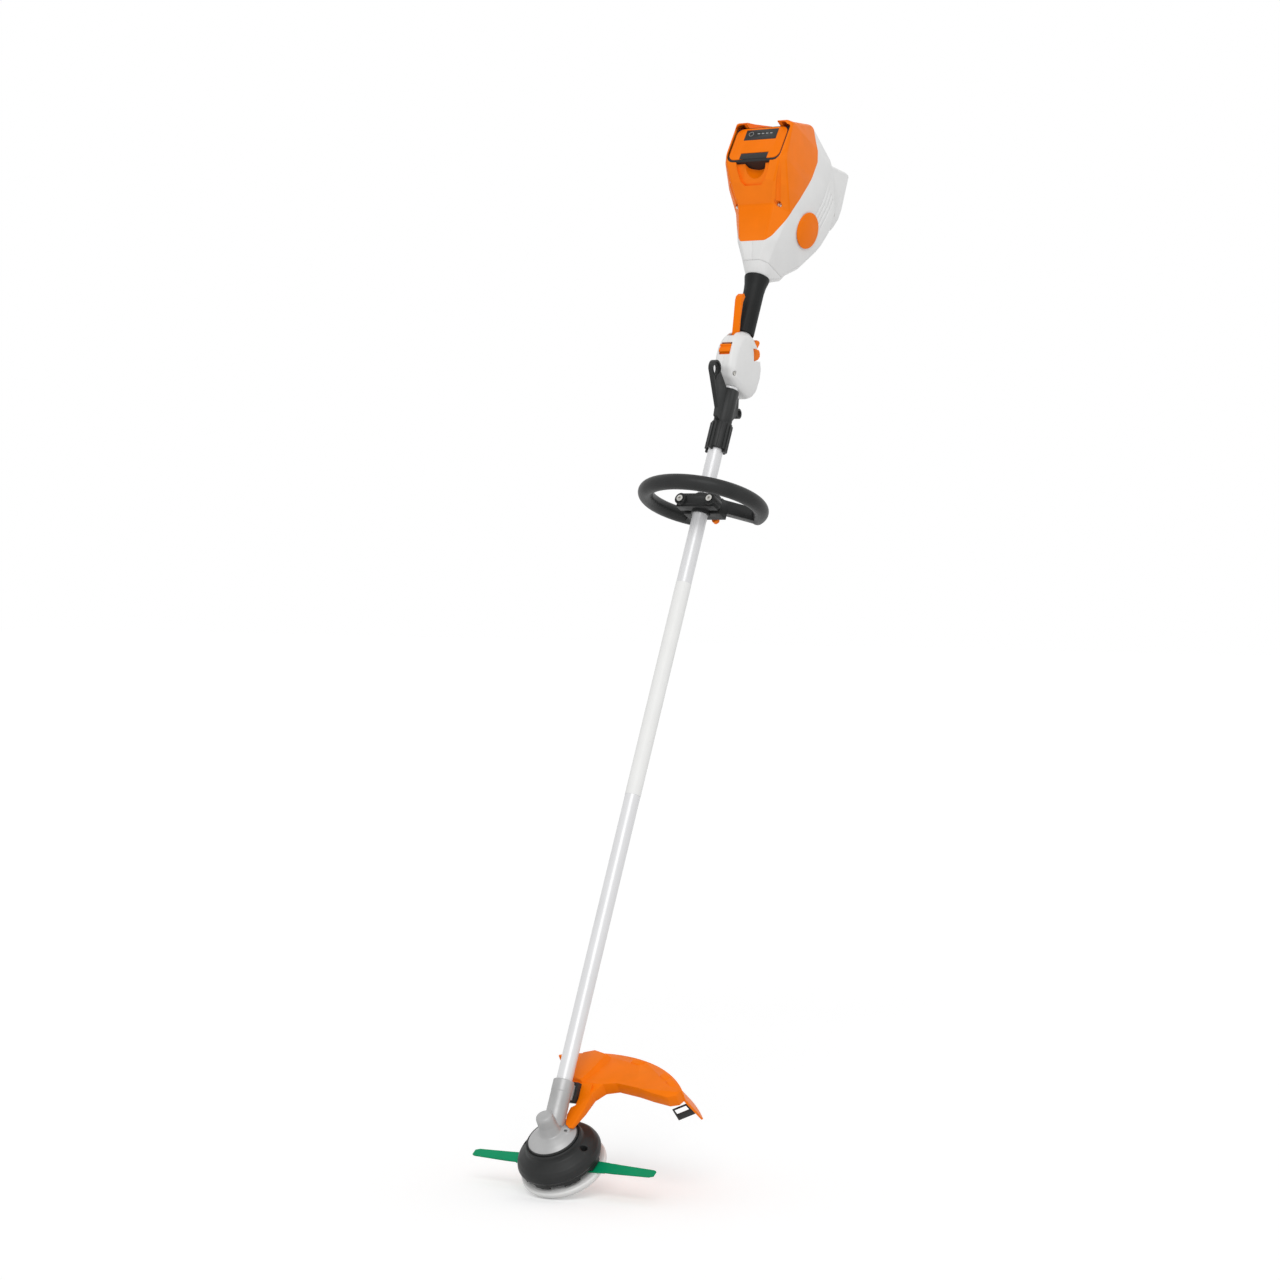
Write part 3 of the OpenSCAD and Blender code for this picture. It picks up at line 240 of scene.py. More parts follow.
# ---- Drive line inside the tube -------------------------------------------
# Ground steel shaft in plain nylon bushes, a bevel pinion at its foot, and the motor's
# rotor, shaft and fan at its top.
ground_steel = finish("ground_steel", (0.55, 0.55, 0.56), 0.28, grain=2200, depth=0.00001,
                      mottle=0.08, metallic=1.0, stretch=(1, 1, 0.1))
for node in ("drive_shaft", "motor_shaft", "spindle_shaft", "lever_pins", "gear_bearings",
             "motor_bearings", "thrust_plate", "blade_pins"):
    dress(node, ground_steel)
gear_steel = finish("gear_steel", (0.42, 0.42, 0.43), 0.36, grain=1200, depth=0.00002,
                    mottle=0.12, metallic=1.0, wear=0.5)
dress("bevel_pinion", gear_steel)
dress("bevel_gear", gear_steel)
nylon = finish("bush_nylon", (0.72, 0.69, 0.6), 0.5, grain=600, depth=0.00002)
dress("tube_bushes", nylon)
windings = finish("lacquered_windings", (0.32, 0.13, 0.06), 0.4, grain=700, depth=0.0002,
                  mottle=0.3, metallic=0.6, stretch=(1, 1, 0.1))
dress("motor_stator", windings)
dress("motor_rotor", gear_steel)


# ---- Gearbox --------------------------------------------------------------
# Die-cast aluminium gearbox with a round boss over the bevel gear, a flange above the
# head and a collar that clamps the tube, painted silver grey over the cast skin.
def alone(obj):
    bpy.ops.object.select_all(action="DESELECT")
    obj.select_set(True)
    bpy.context.view_layer.objects.active = obj


def copied(node, name):
    """A merged copy of a CAD node's mesh, to be finished as a piece of its own."""
    piece = nodes[node].copy()
    piece.data = nodes[node].data.copy()
    piece.name = name
    piece.data.name = name
    piece.parent = None
    piece.matrix_world = Matrix.Identity(4)
    for key in list(piece.keys()):
        del piece[key]
    bpy.context.collection.objects.link(piece)
    piece.data.materials.clear()
    alone(piece)
    bpy.ops.object.mode_set(mode="EDIT")
    bpy.ops.mesh.select_all(action="SELECT")
    bpy.ops.mesh.remove_doubles(threshold=0.00001)
    bpy.ops.object.mode_set(mode="OBJECT")
    return piece


def applied(piece, kind, **settings):
    """Adds a modifier to the piece and applies it."""
    alone(piece)
    modifier = piece.modifiers.new(kind.lower(), kind)
    for key, value in settings.items():
        setattr(modifier, key, value)
    bpy.ops.object.modifier_apply(modifier=modifier.name)
    return piece


def smooth(piece, degrees):
    alone(piece)
    bpy.ops.object.shade_smooth_by_angle(angle=math.radians(degrees))


def softened(piece, cell, rounds):
    """Rounds a piece all over as a mould or a casting does: a fine remesh, then smoothing."""
    applied(piece, "REMESH", mode="VOXEL", voxel_size=cell * MM, use_smooth_shade=True)
    applied(piece, "SMOOTH", factor=0.5, iterations=rounds)
    return piece


def eased(piece, width, degrees=28, segments=2):
    """Merges flat faces and rounds the sharp edges by a small radius."""
    alone(piece)
    bpy.ops.object.mode_set(mode="EDIT")
    bpy.ops.mesh.select_all(action="SELECT")
    bpy.ops.mesh.dissolve_limited(angle_limit=math.radians(1.0))
    bpy.ops.object.mode_set(mode="OBJECT")
    applied(piece, "BEVEL", width=width * MM, segments=segments, limit_method="ANGLE",
            angle_limit=math.radians(degrees), use_clamp_overlap=True)
    smooth(piece, 35)
    return piece


def fitted(piece, body, material, slot, *replaced):
    """Gives the finished piece its material, its body and the nodes it stands for. The slot argument is not
    used.
    """
    piece.data.materials.clear()
    piece.data.materials.append(material)
    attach(piece, body)
    if replaced:
        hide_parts(*replaced)
    return piece


cast_paint = finish("cast_paint", (0.42, 0.42, 0.42), 0.42, grain=900, depth=0.00006, mottle=0.12,
                    metallic=0.35, wear=0.35)
gearbox = softened(copied("gear_housing", "gearbox_casting"), 0.68, 4)
fitted(gearbox, "frame", cast_paint, "cast_alloy", "gear_housing")

# ---- Screws and nuts ------------------------------------------------------
# Zinc-plated socket screws and the flanged nut that holds the head on its spindle.
zinc = finish("zinc_plating", (0.62, 0.61, 0.58), 0.3, grain=1800, depth=0.00001, mottle=0.1,
              metallic=1.0)
for node in ("gear_screws", "deflector_screws", "case_screws", "clamp_screws", "head_nut"):
    dress(node, zinc)


# ---- Wrap guard ring -------------------------------------------------------
# Black moulded ring over the head's upper edge that keeps long grass off the shaft.
# It is pressed on the gearbox flange.
def moved(piece, matrix):
    """Places a piece by a matrix and leaves it at the origin, unrotated and unscaled."""
    piece.matrix_world = matrix
    alone(piece)
    bpy.ops.object.transform_apply(location=True, rotation=True, scale=True)
    return piece


def cut(piece, tool, how="DIFFERENCE"):
    """Cuts a piece by a tool, joins the two or keeps what they share, and drops the tool."""
    applied(piece, "BOOLEAN", operation=how, object=tool, solver="MANIFOLD")
    bpy.data.objects.remove(tool)
    return piece


def prism(first, last, round_off=0.0):
    """A solid between two closed outlines that have the same number of points."""
    bpy.ops.object.select_all(action="DESELECT")
    bpy.ops.mesh.primitive_circle_add(vertices=len(first), fill_type="NGON")
    piece = bpy.context.object
    first, last = [Vector(p) for p in first], [Vector(p) for p in last]
    for vertex, place in zip(piece.data.vertices, first):
        vertex.co = place
    bpy.ops.object.mode_set(mode="EDIT")
    bpy.ops.mesh.select_all(action="SELECT")
    bpy.ops.mesh.extrude_region_move()
    mesh = bmesh.from_edit_mesh(piece.data)
    for vertex in [v for v in mesh.verts if v.select]:
        vertex.co = last[min(range(len(first)), key=lambda i: (first[i] - vertex.co).length)]
    bmesh.update_edit_mesh(piece.data)
    bpy.ops.mesh.select_all(action="SELECT")
    bpy.ops.mesh.normals_make_consistent(inside=False)
    bpy.ops.object.mode_set(mode="OBJECT")
    if round_off:
        applied(piece, "BEVEL", width=round_off, segments=4)
    return piece


def plate(points, half_width, base=0.0):
    """An outline in the side view (y, z), carried across x."""
    return prism([(-half_width, y, base + z) for y, z in points],
                 [(half_width, y, base + z) for y, z in points])


def block(low, high, round_off=0.0):
    """A box between its low and its high corner."""
    (a, b, c), (d, e, f) = low, high
    return prism([(a, b, c), (d, b, c), (d, e, c), (a, e, c)],
                 [(a, b, f), (d, b, f), (d, e, f), (a, e, f)], round_off)


def rod(start, end, radius, end_radius=None, sides=40):
    """A round bar or cone from one point to another."""
    start, end = Vector(start), Vector(end)
    bpy.ops.object.select_all(action="DESELECT")
    bpy.ops.mesh.primitive_cone_add(vertices=sides, radius1=radius, depth=(end - start).length,
                                    radius2=radius if end_radius is None else end_radius)
    turn = (end - start).to_track_quat("Z", "Y").to_matrix().to_4x4()
    return moved(bpy.context.object, Matrix.Translation((start + end) / 2) @ turn)


def ball(centre, radii):
    """A ball or an ellipsoid about a centre."""
    bpy.ops.object.select_all(action="DESELECT")
    bpy.ops.mesh.primitive_uv_sphere_add(segments=48, ring_count=24, radius=1)
    return moved(bpy.context.object, Matrix.Translation(centre) @ Matrix.Diagonal((*radii, 1)))


def upright(piece):
    """Stands a piece from the shared frame up in the tool's millimetres."""
    return moved(piece, LEANED.inverted())


def set_in_place(piece):
    """Leans a piece made in the tool's millimetres into the shared frame."""
    return moved(piece, LEANED)


dark_mould = finish("dark_mould", (0.024, 0.025, 0.025), 0.42, grain=1100, depth=0.00005,
                    mottle=0.2, wear=0.25)
dress("wrap_guard_ring", dark_mould)

# ---- Deflector bracket -----------------------------------------------------
# Black moulded block on the gearbox collar that carries the deflector, held by two
# zinc-plated screws.
bracket = eased(copied("deflector_bracket", "deflector_bracket_block"), 1.2)
fitted(bracket, "frame", dark_mould, "dark_plastic", "deflector_bracket")

# ---- Deflector -------------------------------------------------------------
# Moulded orange guard of a ring's segment, with a raised pad by the tube and three low
# ribs on its outer edge. It is screwed to the bracket.
orange_mould = finish("orange_mould", (0.90, 0.185, 0.0), 0.42, grain=1300, depth=0.00004,
                      mottle=0.05, wear=0.12, specular=0.1)
RIM_X, RIM_Y, RIM_R = 12, -47, 225
deflector = upright(copied("deflector", "deflector_shell"))


def guard_top(y):
    """Height of the deflector's top at a distance behind the spindle."""
    return 20 - (y - 100) * 0.2 if y > 100 else 20 - (100 - y) * 0.21


pad_outline = ((-22, 104), (14, 96), (20, 140), (20, 176), (-14, 184), (-36, 174))
pad = prism([(x, y, guard_top(y) - 2) for x, y in pad_outline],
            [(-8 + (x + 8) * 0.75, 140 + (y - 140) * 0.92, guard_top(y) + 6 + (y - 96) * 0.05)
             for x, y in pad_outline])
cut(deflector, moved(pad, ON_SPINDLE), "UNION")
for turn in (49, 55, 75):
    rib = block((219, -11, -4), (231, 11, 2.2), 2)
    rim = Matrix.Translation((RIM_X, RIM_Y, 0)) @ Matrix.Rotation(math.radians(turn), 4, "Z")
    rib_y = RIM_Y + RIM_R * math.sin(math.radians(turn))
    moved(rib, Matrix.Translation((0, 0, guard_top(rib_y))) @ rim)
    cut(deflector, moved(rib, ON_SPINDLE), "UNION")
eased(set_in_place(deflector), 1.2, degrees=20)
fitted(deflector, "frame", orange_mould, "orange_plastic", "deflector")

# ---- Line cutter -----------------------------------------------------------
# Small dark knife on the deflector's skirt that trims a line to length.
cutter = eased(copied("line_cutter", "line_cutter_knife"), 0.5)
fitted(cutter, "frame", dark_mould, "dark_plastic", "line_cutter")


# ---- Cutting head ----------------------------------------------------------
# Black moulded shell with a web and a hub inside, two raised bosses for the blade pins
# and eight slots in its lower lip. It turns on the spindle under the thrust plate.
def turned(name, profile, steps=96):
    """Spins a closed outline (radius, height) round the z axis."""
    bpy.ops.object.select_all(action="DESELECT")
    bpy.ops.mesh.primitive_circle_add(vertices=len(profile), fill_type="NOTHING")
    piece = bpy.context.object
    piece.name = name
    for vertex, (radius, height) in zip(piece.data.vertices, profile):
        vertex.co = Vector((radius, 0, height))
    bpy.ops.object.mode_set(mode="EDIT")
    bpy.ops.mesh.select_all(action="SELECT")
    bpy.ops.mesh.spin(steps=steps, angle=2 * math.pi, center=(0, 0, 0), axis=(0, 0, 1))
    bpy.ops.mesh.select_all(action="SELECT")
    bpy.ops.mesh.remove_doubles(threshold=0.01)
    bpy.ops.mesh.normals_make_consistent(inside=False)
    bpy.ops.object.mode_set(mode="OBJECT")
    return piece


PIN_OUT, LIP, PIN_SEAT = 52, -56, -33
head = turned("head_shell", ((43.2, -8.6), (45.2, -9.6), (45.4, -15), (47.5, -19), (52, -21.5),
                             (61, -27), (65.5, -33), (67.6, -39), (68, -42.5), (66.5, -45),
                             (64.5, -46.5), (64, LIP), (60.5, LIP), (60.5, -46), (60, -40),
                             (55, -32), (42.6, -25), (41.6, -15), (41.4, -8.6)))
for part in (turned("web", ((9.7, -32), (58, -32), (58, -28.5), (9.7, -28.5))),
             turned("hub", ((9.7, LIP), (13, LIP), (13, -20.3), (9.7, -20.3)))):
    cut(head, part, "UNION")
for side in (1, -1):
    pin = side * PIN_OUT
    cut(head, rod((pin, 0, LIP), (pin, 0, -32), 10), "UNION")
    lobe = prism([(pin + side * x, y, -40) for x, y in ((-14, -15), (11, -11), (13, 0), (11, 11), (-14, 15))],
                 [(pin + side * x, y, z) for x, y, z in ((-12, -13, -18.5), (6, -9, -24), (8, 0, -25),
                                                         (6, 9, -24), (-12, 13, -18.5))], 2.5)
    cut(head, lobe, "UNION")
    cut(head, rod((pin, 0, PIN_SEAT), (pin, 0, 10), 5.4))
    cut(head, rod((pin, 0, -80), (pin, 0, -20), 3.6))
for index in range(8):
    turn = math.radians(22.5 + 45 * index)
    slot_tool = block((58, -11, LIP - 1), (70, 11, LIP + 4.5), 1.0)
    cut(head, moved(slot_tool, Matrix.Rotation(turn, 4, "Z")))
moved(head, ON_SPINDLE)
softened(set_in_place(head), 1.0, 2)
fitted(head, "cutting_head", dark_mould, "dark_plastic", "head_body")

# ---- Glide plate -----------------------------------------------------------
# Pale moulded dish that runs on the ground and turns with the head.
pale_mould = finish("glide_plastic", (0.74, 0.74, 0.73), 0.38, grain=700, depth=0.00005,
                    mottle=0.08)
glide = eased(copied("glide_plate", "glide_dish"), 0.8, degrees=15)
fitted(glide, "cutting_head", pale_mould, "glide_plastic", "glide_plate")

# ---- Blades ----------------------------------------------------------------
# Two green moulded blades with bevelled edges, each free to swing on its own pin.
blade_green = finish("blade_green", (0.0, 0.27, 0.115), 0.45, grain=900, depth=0.00003,
                     mottle=0.08, wear=0.15, specular=0.08)
for side in ("left", "right"):
    knife = eased(copied("blade_" + side, "blade_%s_knife" % side), 0.35, segments=1)
    fitted(knife, side + "_blade", blade_green, "blade_plastic", "blade_" + side)

# ---- Ribbed sleeve ---------------------------------------------------------
# Black moulded sleeve with long ribs, clamped on the tube below the carrier.
sleeve = eased(copied("coupling_sleeve", "ribbed_sleeve"), 0.8)
fitted(sleeve, "frame", dark_mould, "dark_plastic", "coupling_sleeve")

# ---- Harness carrier -------------------------------------------------------
# Black moulded fin with a round, dished eye and a drop-shaped slot for the harness hook.
# A second eye sits at its other side.
carrier = upright(copied("harness_carrier", "carrier_fin"))
eye_z = Z_CARRIER + 74
cut(carrier, rod((-4.6, -61, eye_z), (4.6, -61, eye_z), 13.4, sides=64), "UNION")
for face in (-1, 1):
    cut(carrier, rod((face * 1.9, -61, eye_z - 1), (face * 9, -61, eye_z - 1), 10.6, sides=64))
drop = [(-61 + 6.3 * math.sin(t), eye_z - 1 + 6.3 * math.cos(t))
        for t in [math.radians(a) for a in range(-110, 111, 10)]]
cut(carrier, plate(drop + [(-54.4, eye_z - 17), (-57, eye_z - 18.4)], 10))
eased(set_in_place(carrier), 1.0)
fitted(carrier, "frame", dark_mould, "dark_plastic", "harness_carrier")

# ---- Clamp saddle ----------------------------------------------------------
# Black two-part saddle that grips the tube and carries the loop handle, held by zinc
# screws and the wing knob.
saddle = eased(copied("handle_clamp", "clamp_saddle"), 1.8, segments=3)
fitted(saddle, "loop", dark_mould, "dark_plastic", "handle_clamp")

# ---- Loop handle -----------------------------------------------------------
# Black round-bar loop, open at the front, in the saddle.
loop = eased(copied("loop_handle", "loop_grip"), 2.0, degrees=32, segments=3)
fitted(loop, "loop", dark_mould, "dark_plastic", "loop_handle")

# ---- Wing knob -------------------------------------------------------------
# Orange moulded knob with two wings on the clamp's screw.
knob = softened(copied("clamp_knob", "wing_knob"), 0.6, 12)
fitted(knob, "knob", orange_mould, "orange_plastic", "clamp_knob")

# ---- Rear grip -------------------------------------------------------------
# Soft black grip pushed over the tube between the control unit and the power head.
grip_rubber = finish("grip_rubber", (0.014, 0.015, 0.015), 0.5, grain=1700, depth=0.00006,
                     mottle=0.2, specular=0.15)
grip = eased(copied("rear_grip", "grip_sleeve"), 0.8)
fitted(grip, "frame", grip_rubber, "grip_rubber", "rear_grip")

# ---- Trigger, latch and lockout lever --------------------------------------
# Three orange moulded levers of the control unit, round at every edge, on steel pins.
for node, name, body in (("trigger", "trigger_key", "throttle_trigger"),
                         ("latch_lever", "latch_tongue", "trigger_latch"),
                         ("lockout_lever", "lockout_paddle", "lockout")):
    lever = softened(copied(node, name), 0.45, 10)
    fitted(lever, body, orange_mould, "orange_plastic", node)

# ---- Speed slider ----------------------------------------------------------
# Orange slider with a finger groove across it, in a window on the back of the unit.
slider = upright(copied("mode_slider", "slider_key"))
cut(slider, rod((-20, -47, Z_CONTROL + 60), (20, -47, Z_CONTROL + 60), 2.2))
eased(set_in_place(slider), 0.6)
fitted(slider, "speed_slider", orange_mould, "orange_plastic", "mode_slider")


# ---- Control housing ------------------------------------------------------
# Two white moulded halves round the tube, screwed together, with openings for the
# trigger, the latch, the lockout lever and the slider.
def stacked(name, slices, base, inset=0.0):
    """Extrudes an eight-cornered outline from slice to slice, as (height, back, front,
    half width, half flat)."""
    bpy.ops.object.select_all(action="DESELECT")
    bpy.ops.mesh.primitive_circle_add(vertices=8, fill_type="NGON")
    piece = bpy.context.object
    piece.name = name
    bpy.ops.object.mode_set(mode="EDIT")
    low, high = slices[0][0], slices[-1][0]
    for index, (z, back, front, half, flat) in enumerate(slices):
        if index:
            bpy.ops.mesh.extrude_region_move()
        half, flat, back, front = half - inset, flat - inset / 2, back + inset, front - inset
        side = half - flat
        corners = ((flat, front), (half, front - side), (half, back + 1.4 * side), (flat, back),
                   (-flat, back), (-half, back + 1.4 * side), (-half, front - side), (-flat, front))
        height = base + inset + low + (z - low) * (high - low - 2 * inset) / (high - low)
        mesh = bmesh.from_edit_mesh(piece.data)
        ring = [v for v in mesh.verts if v.select]
        centre = sum((v.co for v in ring), Vector()) / len(ring)
        ring.sort(key=lambda v: math.atan2(v.co.x - centre.x, v.co.y - centre.y) % (2 * math.pi))
        for corner, (x, y) in zip(ring, corners):
            corner.co = Vector((x, y, height))
        bmesh.update_edit_mesh(piece.data)
    bpy.ops.mesh.select_all(action="SELECT")
    bpy.ops.mesh.normals_make_consistent(inside=False)
    bpy.ops.object.mode_set(mode="OBJECT")
    return piece


CONTROL = ((4, -14, 40, 13, 8), (11, -30, 48, 18, 12), (24, -41, 54, 20.5, 14),
           (49, -44, 56, 21, 14), (64, -44, 53, 21, 13.5), (78, -42, 47, 20.5, 11),
           (92, -35, 37, 18.5, 7), (104, -16, 21, 15.5, 7))
white_mould = finish("white_mould", (0.75, 0.75, 0.745), 0.38, grain=1200, depth=0.00004, mottle=0.03)
for side, name in ((1, "left"), (-1, "right")):
    shell = stacked("control_shell_" + name, CONTROL, Z_CONTROL)
    applied(shell, "BEVEL", width=6, segments=4, limit_method="ANGLE",
            angle_limit=math.radians(14), use_clamp_overlap=True)
    hollow = stacked("hollow", CONTROL, Z_CONTROL, inset=2.6)
    cut(hollow, block((-9, -41, Z_CONTROL + 62), (30, -30, Z_CONTROL + 66)))
    cut(shell, hollow)
    cut(shell, rod((0, 0, Z_CONTROL - 30), (0, 0, Z_CONTROL + 130), 12.8))
    trigger_window = block((-40, -11, -9.3), (40, 80, 12))
    cut(shell, moved(trigger_window, Matrix.Translation((0, 24, Z_CONTROL + 78))
                     @ Matrix.Rotation(math.radians(25), 4, "X")))
    cut(shell, plate(((3, 130), (3, 104.5), (10, 100), (18, 95), (34, 90), (60, 88), (70, 130)),
                     40, Z_CONTROL))
    cut(shell, plate(((17, 78), (17, 103), (36, 125), (70, 125), (70, 78)), 4.2, Z_CONTROL))
    cut(shell, plate(((-60, 92), (-60, 130), (-17, 130), (-17, 80), (-25, 80)), 6.5, Z_CONTROL))
    cut(shell, block((-10.5, -60, Z_CONTROL + 46.5), (10.5, -38, Z_CONTROL + 69.5), 1.0))
    cut(shell, rod((16.5, -27, Z_CONTROL + 19), (26, -27, Z_CONTROL + 19), 4.2))
    cut(shell, block((0.1 if side > 0 else -200, -200, 0), (200 if side > 0 else -0.1, 300, 3000)),
        "INTERSECT")
    eased(set_in_place(shell), 0.5)
    fitted(shell, "frame", white_mould, "white_plastic", "control_housing_" + name)

# ---- Bay cover -------------------------------------------------------------
# Orange moulded cover over the battery bay, with two deep screw holes, a dip in its hood,
# and a dished recess below the battery's latch. It is screwed to the white halves.
# Slices of the whole power head as (height, back, front, half width, half flat), the line
# where orange meets white, the solid roof over the bay, and the dip in the hood
POWER = ((0, -29, 47, 25, 15), (12, -34, 52, 29, 18), (37, -44, 75, 39, 26), (90, -57, 108, 53, 34),
         (121, -84, 113, 58, 42), (156, -99, 106, 60, 52), (170, -101, 100, 60, 53),
         (229, -98, 73, 56, 49), (241, -72, 67, 52, 44), (271, -14, -2, 42, 38))
SPLIT = ((-150, 6), (-70, 12), (-52, 19), (-42, 28), (-36, 42), (-31, 65), (-24, 97), (-15, 125),
         (3, 175), (12, 210), (2, 245), (-6, 300), (-150, 300))
ROOF = ((-120, 226), (-60, 224), (-20, 240), (20, 256), (20, 300), (-120, 300))
DIP = ((-130, 202), (-72, 232), (0, 269), (20, 279), (20, 300), (-130, 300))
BAY = Matrix.Translation((0, -94, Z_POWER + 189)) @ Matrix.Rotation(math.radians(-9.2), 4, "X")


def head_form(inset=0.0, back=0.0):
    """The outer form of the power head, rounded, or its inside at a wall's inset."""
    form = stacked("head_form", POWER, Z_POWER, inset)
    if not inset:
        applied(form, "BEVEL", width=7, segments=4, limit_method="ANGLE",
                angle_limit=math.radians(9), use_clamp_overlap=True)
    return moved(form, Matrix.Translation((0, back, 0)))


def in_bay(grow, round_off, start, end):
    """A block of the battery's outline, grown all round, from start to end along the bay."""
    return moved(block((-49 - grow, start, -33.5 - grow), (49 + grow, end, 33.5 + grow), round_off), BAY)


cover = head_form()
cover.name = "bay_cover"
hollow = head_form(2.6)
thick = block((-36, -125, Z_POWER + 106), (36, -40, Z_POWER + 252))
cut(thick, head_form(2.6, back=24))
cut(hollow, thick)
cut(hollow, plate(ROOF, 33, Z_POWER))
cut(cover, hollow)
cut(cover, plate(SPLIT, 200, Z_POWER), "INTERSECT")
# Screw bosses, each with a groove that runs up the face from its hole
for x in (-1, 1):
    boss = rod((40 * x, -75, Z_POWER + 94), (40 * x, -38, Z_POWER + 94), 7.5)
    cut(boss, rod((41 * x, -48, Z_POWER + 90), (47 * x, -70, Z_POWER + 121), 10, 11), "UNION")
    cut(boss, rod((47 * x, -70, Z_POWER + 119), (53 * x, -86, Z_POWER + 162), 11, 9), "UNION")
    cut(cover, cut(boss, head_form(), "INTERSECT"), "UNION")
    cut(cover, rod((40 * x, -125, Z_POWER + 94), (40 * x, -45, Z_POWER + 94), 4.6))
    bend = (47.5 * x, -77.5, Z_POWER + 120)
    cut(cover, rod((41 * x, -53, Z_POWER + 92), bend, 5, 4.2))
    cut(cover, ball(bend, (4.2, 4.2, 4.2)))
    cut(cover, rod(bend, (55 * x, -97, Z_POWER + 152), 4.2, 3))
# Opening of the bay, flared at its front edge
cut(cover, in_bay(3.6, 13, -60, 20))
flare = prism([(x * 60, -10, z * 44) for x, z in ((-1, -1), (1, -1), (1, 0.7), (-1, 0.7))],
              [(x * 51, 1, z * 36) for x, z in ((-1, -1), (1, -1), (1, 1), (-1, 1))], 4)
cut(cover, moved(flare, BAY))
cut(cover, in_bay(2.9, 6, 5, 150))
# Recess below the battery, the bowl for a finger and the dark opening over it
dent = prism([(x, -130, Z_POWER + z) for x, z in ((-37, 162), (37, 162), (33, 138), (26, 119), (18, 112),
                                                  (-18, 112), (-26, 119), (-33, 138))],
             [(x, -40, Z_POWER + z) for x, z in ((-31, 162), (31, 162), (27, 141), (21, 124), (14, 118),
                                                 (-14, 118), (-21, 124), (-27, 141))])
cut(dent, head_form(0, back=6.5))
cut(cover, dent)
cut(cover, ball((2, -93, Z_POWER + 148), (20, 20, 27)))
cut(cover, prism([(x, -130, Z_POWER + z) for x, z in ((-27, 170), (27, 170), (24, 155), (16, 148),
                                                      (-16, 148), (-24, 155))],
                 [(x, -60, Z_POWER + z) for x, z in ((-27, 170), (27, 170), (22, 156), (14, 149),
                                                     (-14, 149), (-22, 156))]))
# Dip in the hood, and a slot in each of its shoulders
cut(cover, plate(DIP, 30, Z_POWER))
for x in (-43, 43):
    cut(cover, block((x - 8, -66, Z_POWER + 236), (x + 8, -62, Z_POWER + 262)))
eased(set_in_place(cover), 0.8)
fitted(cover, "frame", orange_mould, "orange_plastic", "top_cover")

# ---- Motor shells ----------------------------------------------------------
# Two white moulded halves round the motor, with four bent ribs of grooves on each side.
# They meet in the middle and clamp the tube's end.
for side, name in ((1, "left"), (-1, "right")):
    shell = head_form()
    shell.name = "motor_shell_" + name
    cut(shell, cut(head_form(2.6), plate(ROOF, 33, Z_POWER)))
    cut(shell, plate(DIP, 30, Z_POWER))
    cut(shell, plate(SPLIT, 200, Z_POWER))
    cut(shell, in_bay(2.9, 6, -60, 150))
    cut(shell, rod((0, 0, Z_POWER - 20), (0, 0, Z_POWER + 20), 12.8))
    for row in range(4):
        bend = (side * 61, 53 + 9 * row, Z_POWER + 156)
        cut(shell, rod((side * 57.6, 38 + 9 * row, Z_POWER + 100), bend, 2.4, sides=16))
        cut(shell, rod(bend, (side * 60.6, 60 + 8 * row, Z_POWER + 196 - 6 * row), 2.4, sides=16))
    cut(shell, block((0.1 if side > 0 else -200, -200, 0), (200 if side > 0 else -0.1, 300, 3000)),
        "INTERSECT")
    eased(set_in_place(shell), 0.6)
    fitted(shell, "frame", white_mould, "white_plastic", "motor_housing_" + name)

# ---- Neck collar -----------------------------------------------------------
# White moulded cuff between the power head and the grip.
neck = eased(copied("neck_collar", "neck_cuff"), 2.0, degrees=16, segments=3)
fitted(neck, "frame", white_mould, "white_plastic", "neck_collar")

# ---- Rest foot -------------------------------------------------------------
# White moulded foot on the far side, on which the power head is laid down.
foot = eased(copied("rest_foot", "rest_foot_shell"), 2.5, segments=3)
fitted(foot, "frame", white_mould, "white_plastic", "rest_foot")

# ---- Side badge ------------------------------------------------------------
# Plain orange disc, glued on the white half.
badge = eased(copied("side_badge", "badge_disc"), 0.5)
fitted(badge, "frame", orange_mould, "orange_plastic", "side_badge")

# ---- Battery cradle --------------------------------------------------------
# Black moulded liner of the bay. Its lip fills most of the gap between the battery and the cover's opening.
# Its dark plastic there is partly the real liner and partly painted shade, standing in for the shade down in
# that gap.
cradle = upright(copied("battery_cradle", "bay_liner_and_gap_shade"))
cut(cradle, in_bay(30, 0, -80, 6))
# Dark ring set just behind the gap: partly real liner, partly painted shade that darkens the gap line round
# the battery
cut(cradle, cut(in_bay(3.3, 12.8, 1.5, 8), in_bay(0.5, 12.2, -5, 20)), "UNION")
eased(set_in_place(cradle), 0.4)
fitted(cradle, "frame", dark_mould, "dark_plastic", "battery_cradle")

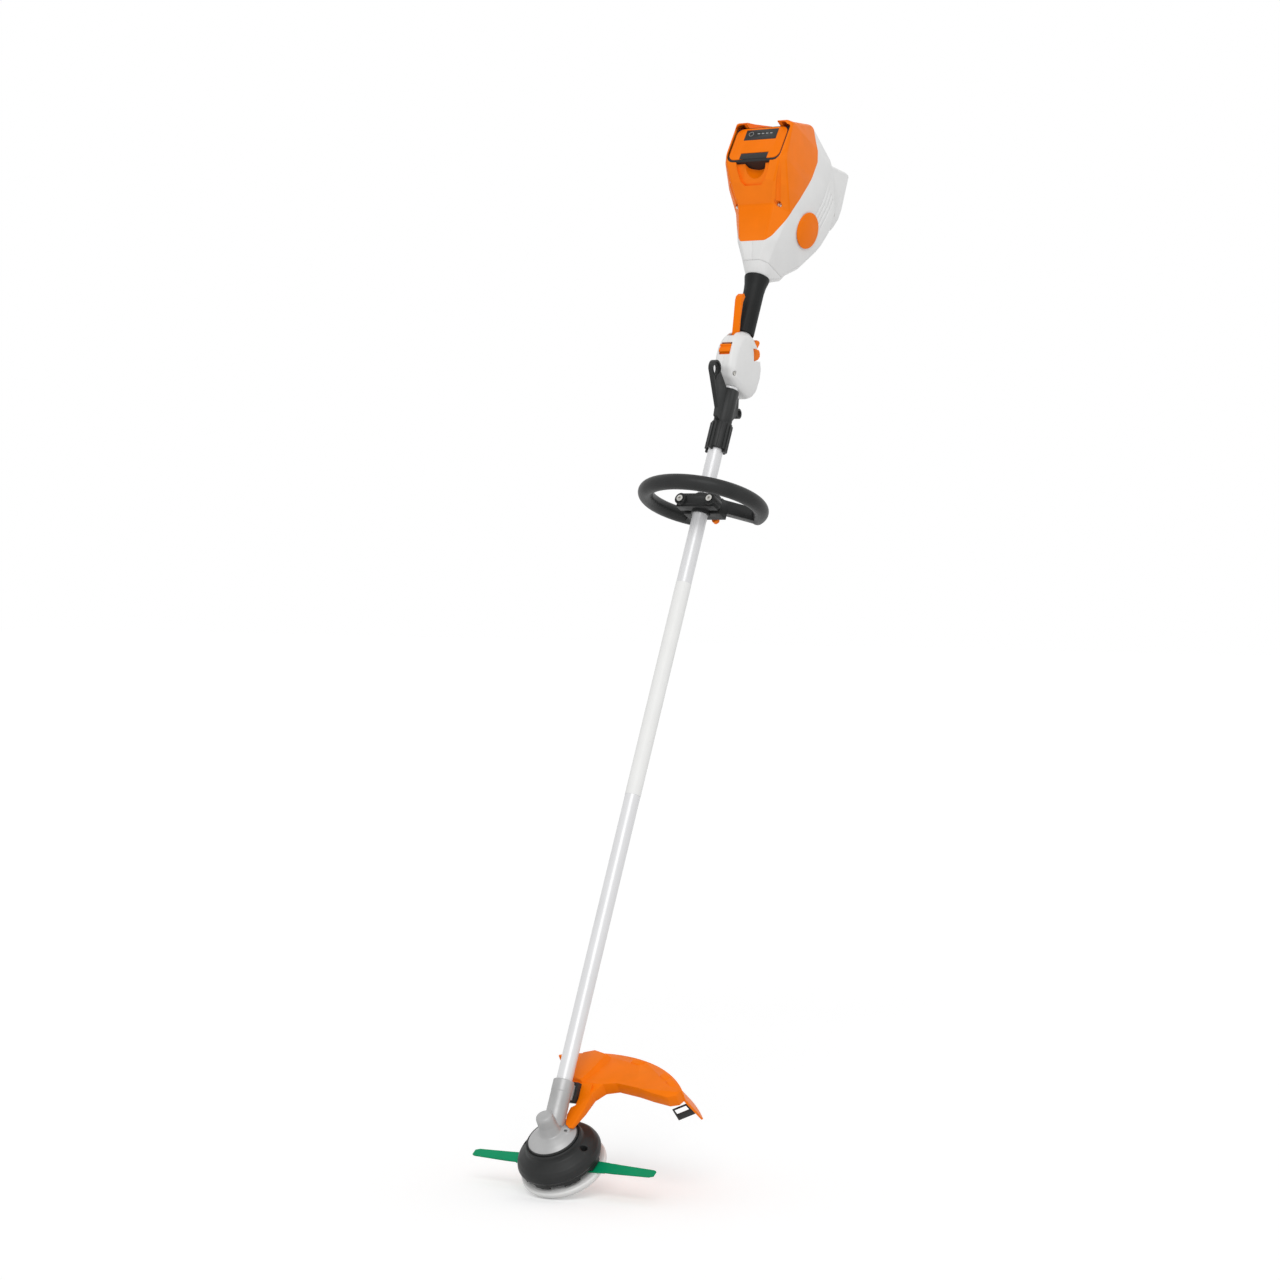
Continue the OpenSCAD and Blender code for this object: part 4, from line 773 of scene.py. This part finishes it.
# ---- Parts inside ----------------------------------------------------------
# Brass contacts, cable, fan, electronics, board and cells. They keep their solids.
dress("battery_terminals", finish("contact_brass", (0.7, 0.45, 0.16), 0.3, metallic=1.0))
dress("power_cable", grip_rubber)
dress("cooling_fan", dark_mould)
dress("control_electronics", dark_mould)
dress("control_board", finish("board_lacquer", (0.01, 0.1, 0.04), 0.25, coat=0.6))
dress("battery_cells", finish("cell_wrap", (0.05, 0.25, 0.14), 0.3, mottle=0.1))

# ---- Battery case ----------------------------------------------------------
# Orange moulded case with round corners that slides into the bay.
battery = upright(copied("battery_case", "battery_shell"))
cut(battery, in_bay(0, 12, -40, 190), "INTERSECT")
eased(set_in_place(battery), 0.9)
fitted(battery, "battery", orange_mould, "orange_plastic", "battery_case")

# ---- Battery panel and charge lights ---------------------------------------
# Dark panel set in the case, with four clear light windows and a thin ring round the
# charge button.
panel = upright(copied("battery_panel", "battery_face"))
for light in range(4):
    cut(panel, moved(block((-8 + 8 * light, -1, 20), (-3 + 8 * light, 0.6, 22.4)), BAY))
eased(set_in_place(panel), 0.3)
lights = block((-8, 0.25, 20.1), (-3.2, 0.9, 22.3))
for light in (1, 2, 3):
    cut(lights, block((-7.9 + 8 * light, 0.25, 20.1), (-3.1 + 8 * light, 0.9, 22.3)), "UNION")
cut(lights, cut(rod((-20, 0.2, 21), (-20, -0.35, 21), 4.6), rod((-20, 5, 21), (-20, -5, 21), 3.9)), "UNION")
lights.name = "charge_lights"
set_in_place(moved(lights, BAY))
fitted(lights, "battery", finish("light_window", (0.35, 0.36, 0.36), 0.3), "dark_plastic")
fitted(panel, "battery", dark_mould, "dark_plastic", "battery_panel")

# ---- Charge button ---------------------------------------------------------
# Small dark key in the panel.
button = eased(copied("battery_button", "charge_key"), 0.4)
fitted(button, "charge_button", dark_mould, "dark_plastic", "battery_button")

# ---- Battery latch ---------------------------------------------------------
# Dark bar at the battery's lower edge that holds it in the bay.
latch = eased(copied("battery_latch", "pack_latch_bar"), 0.8)
fitted(latch, "pack_latch", dark_mould, "dark_plastic", "battery_latch")
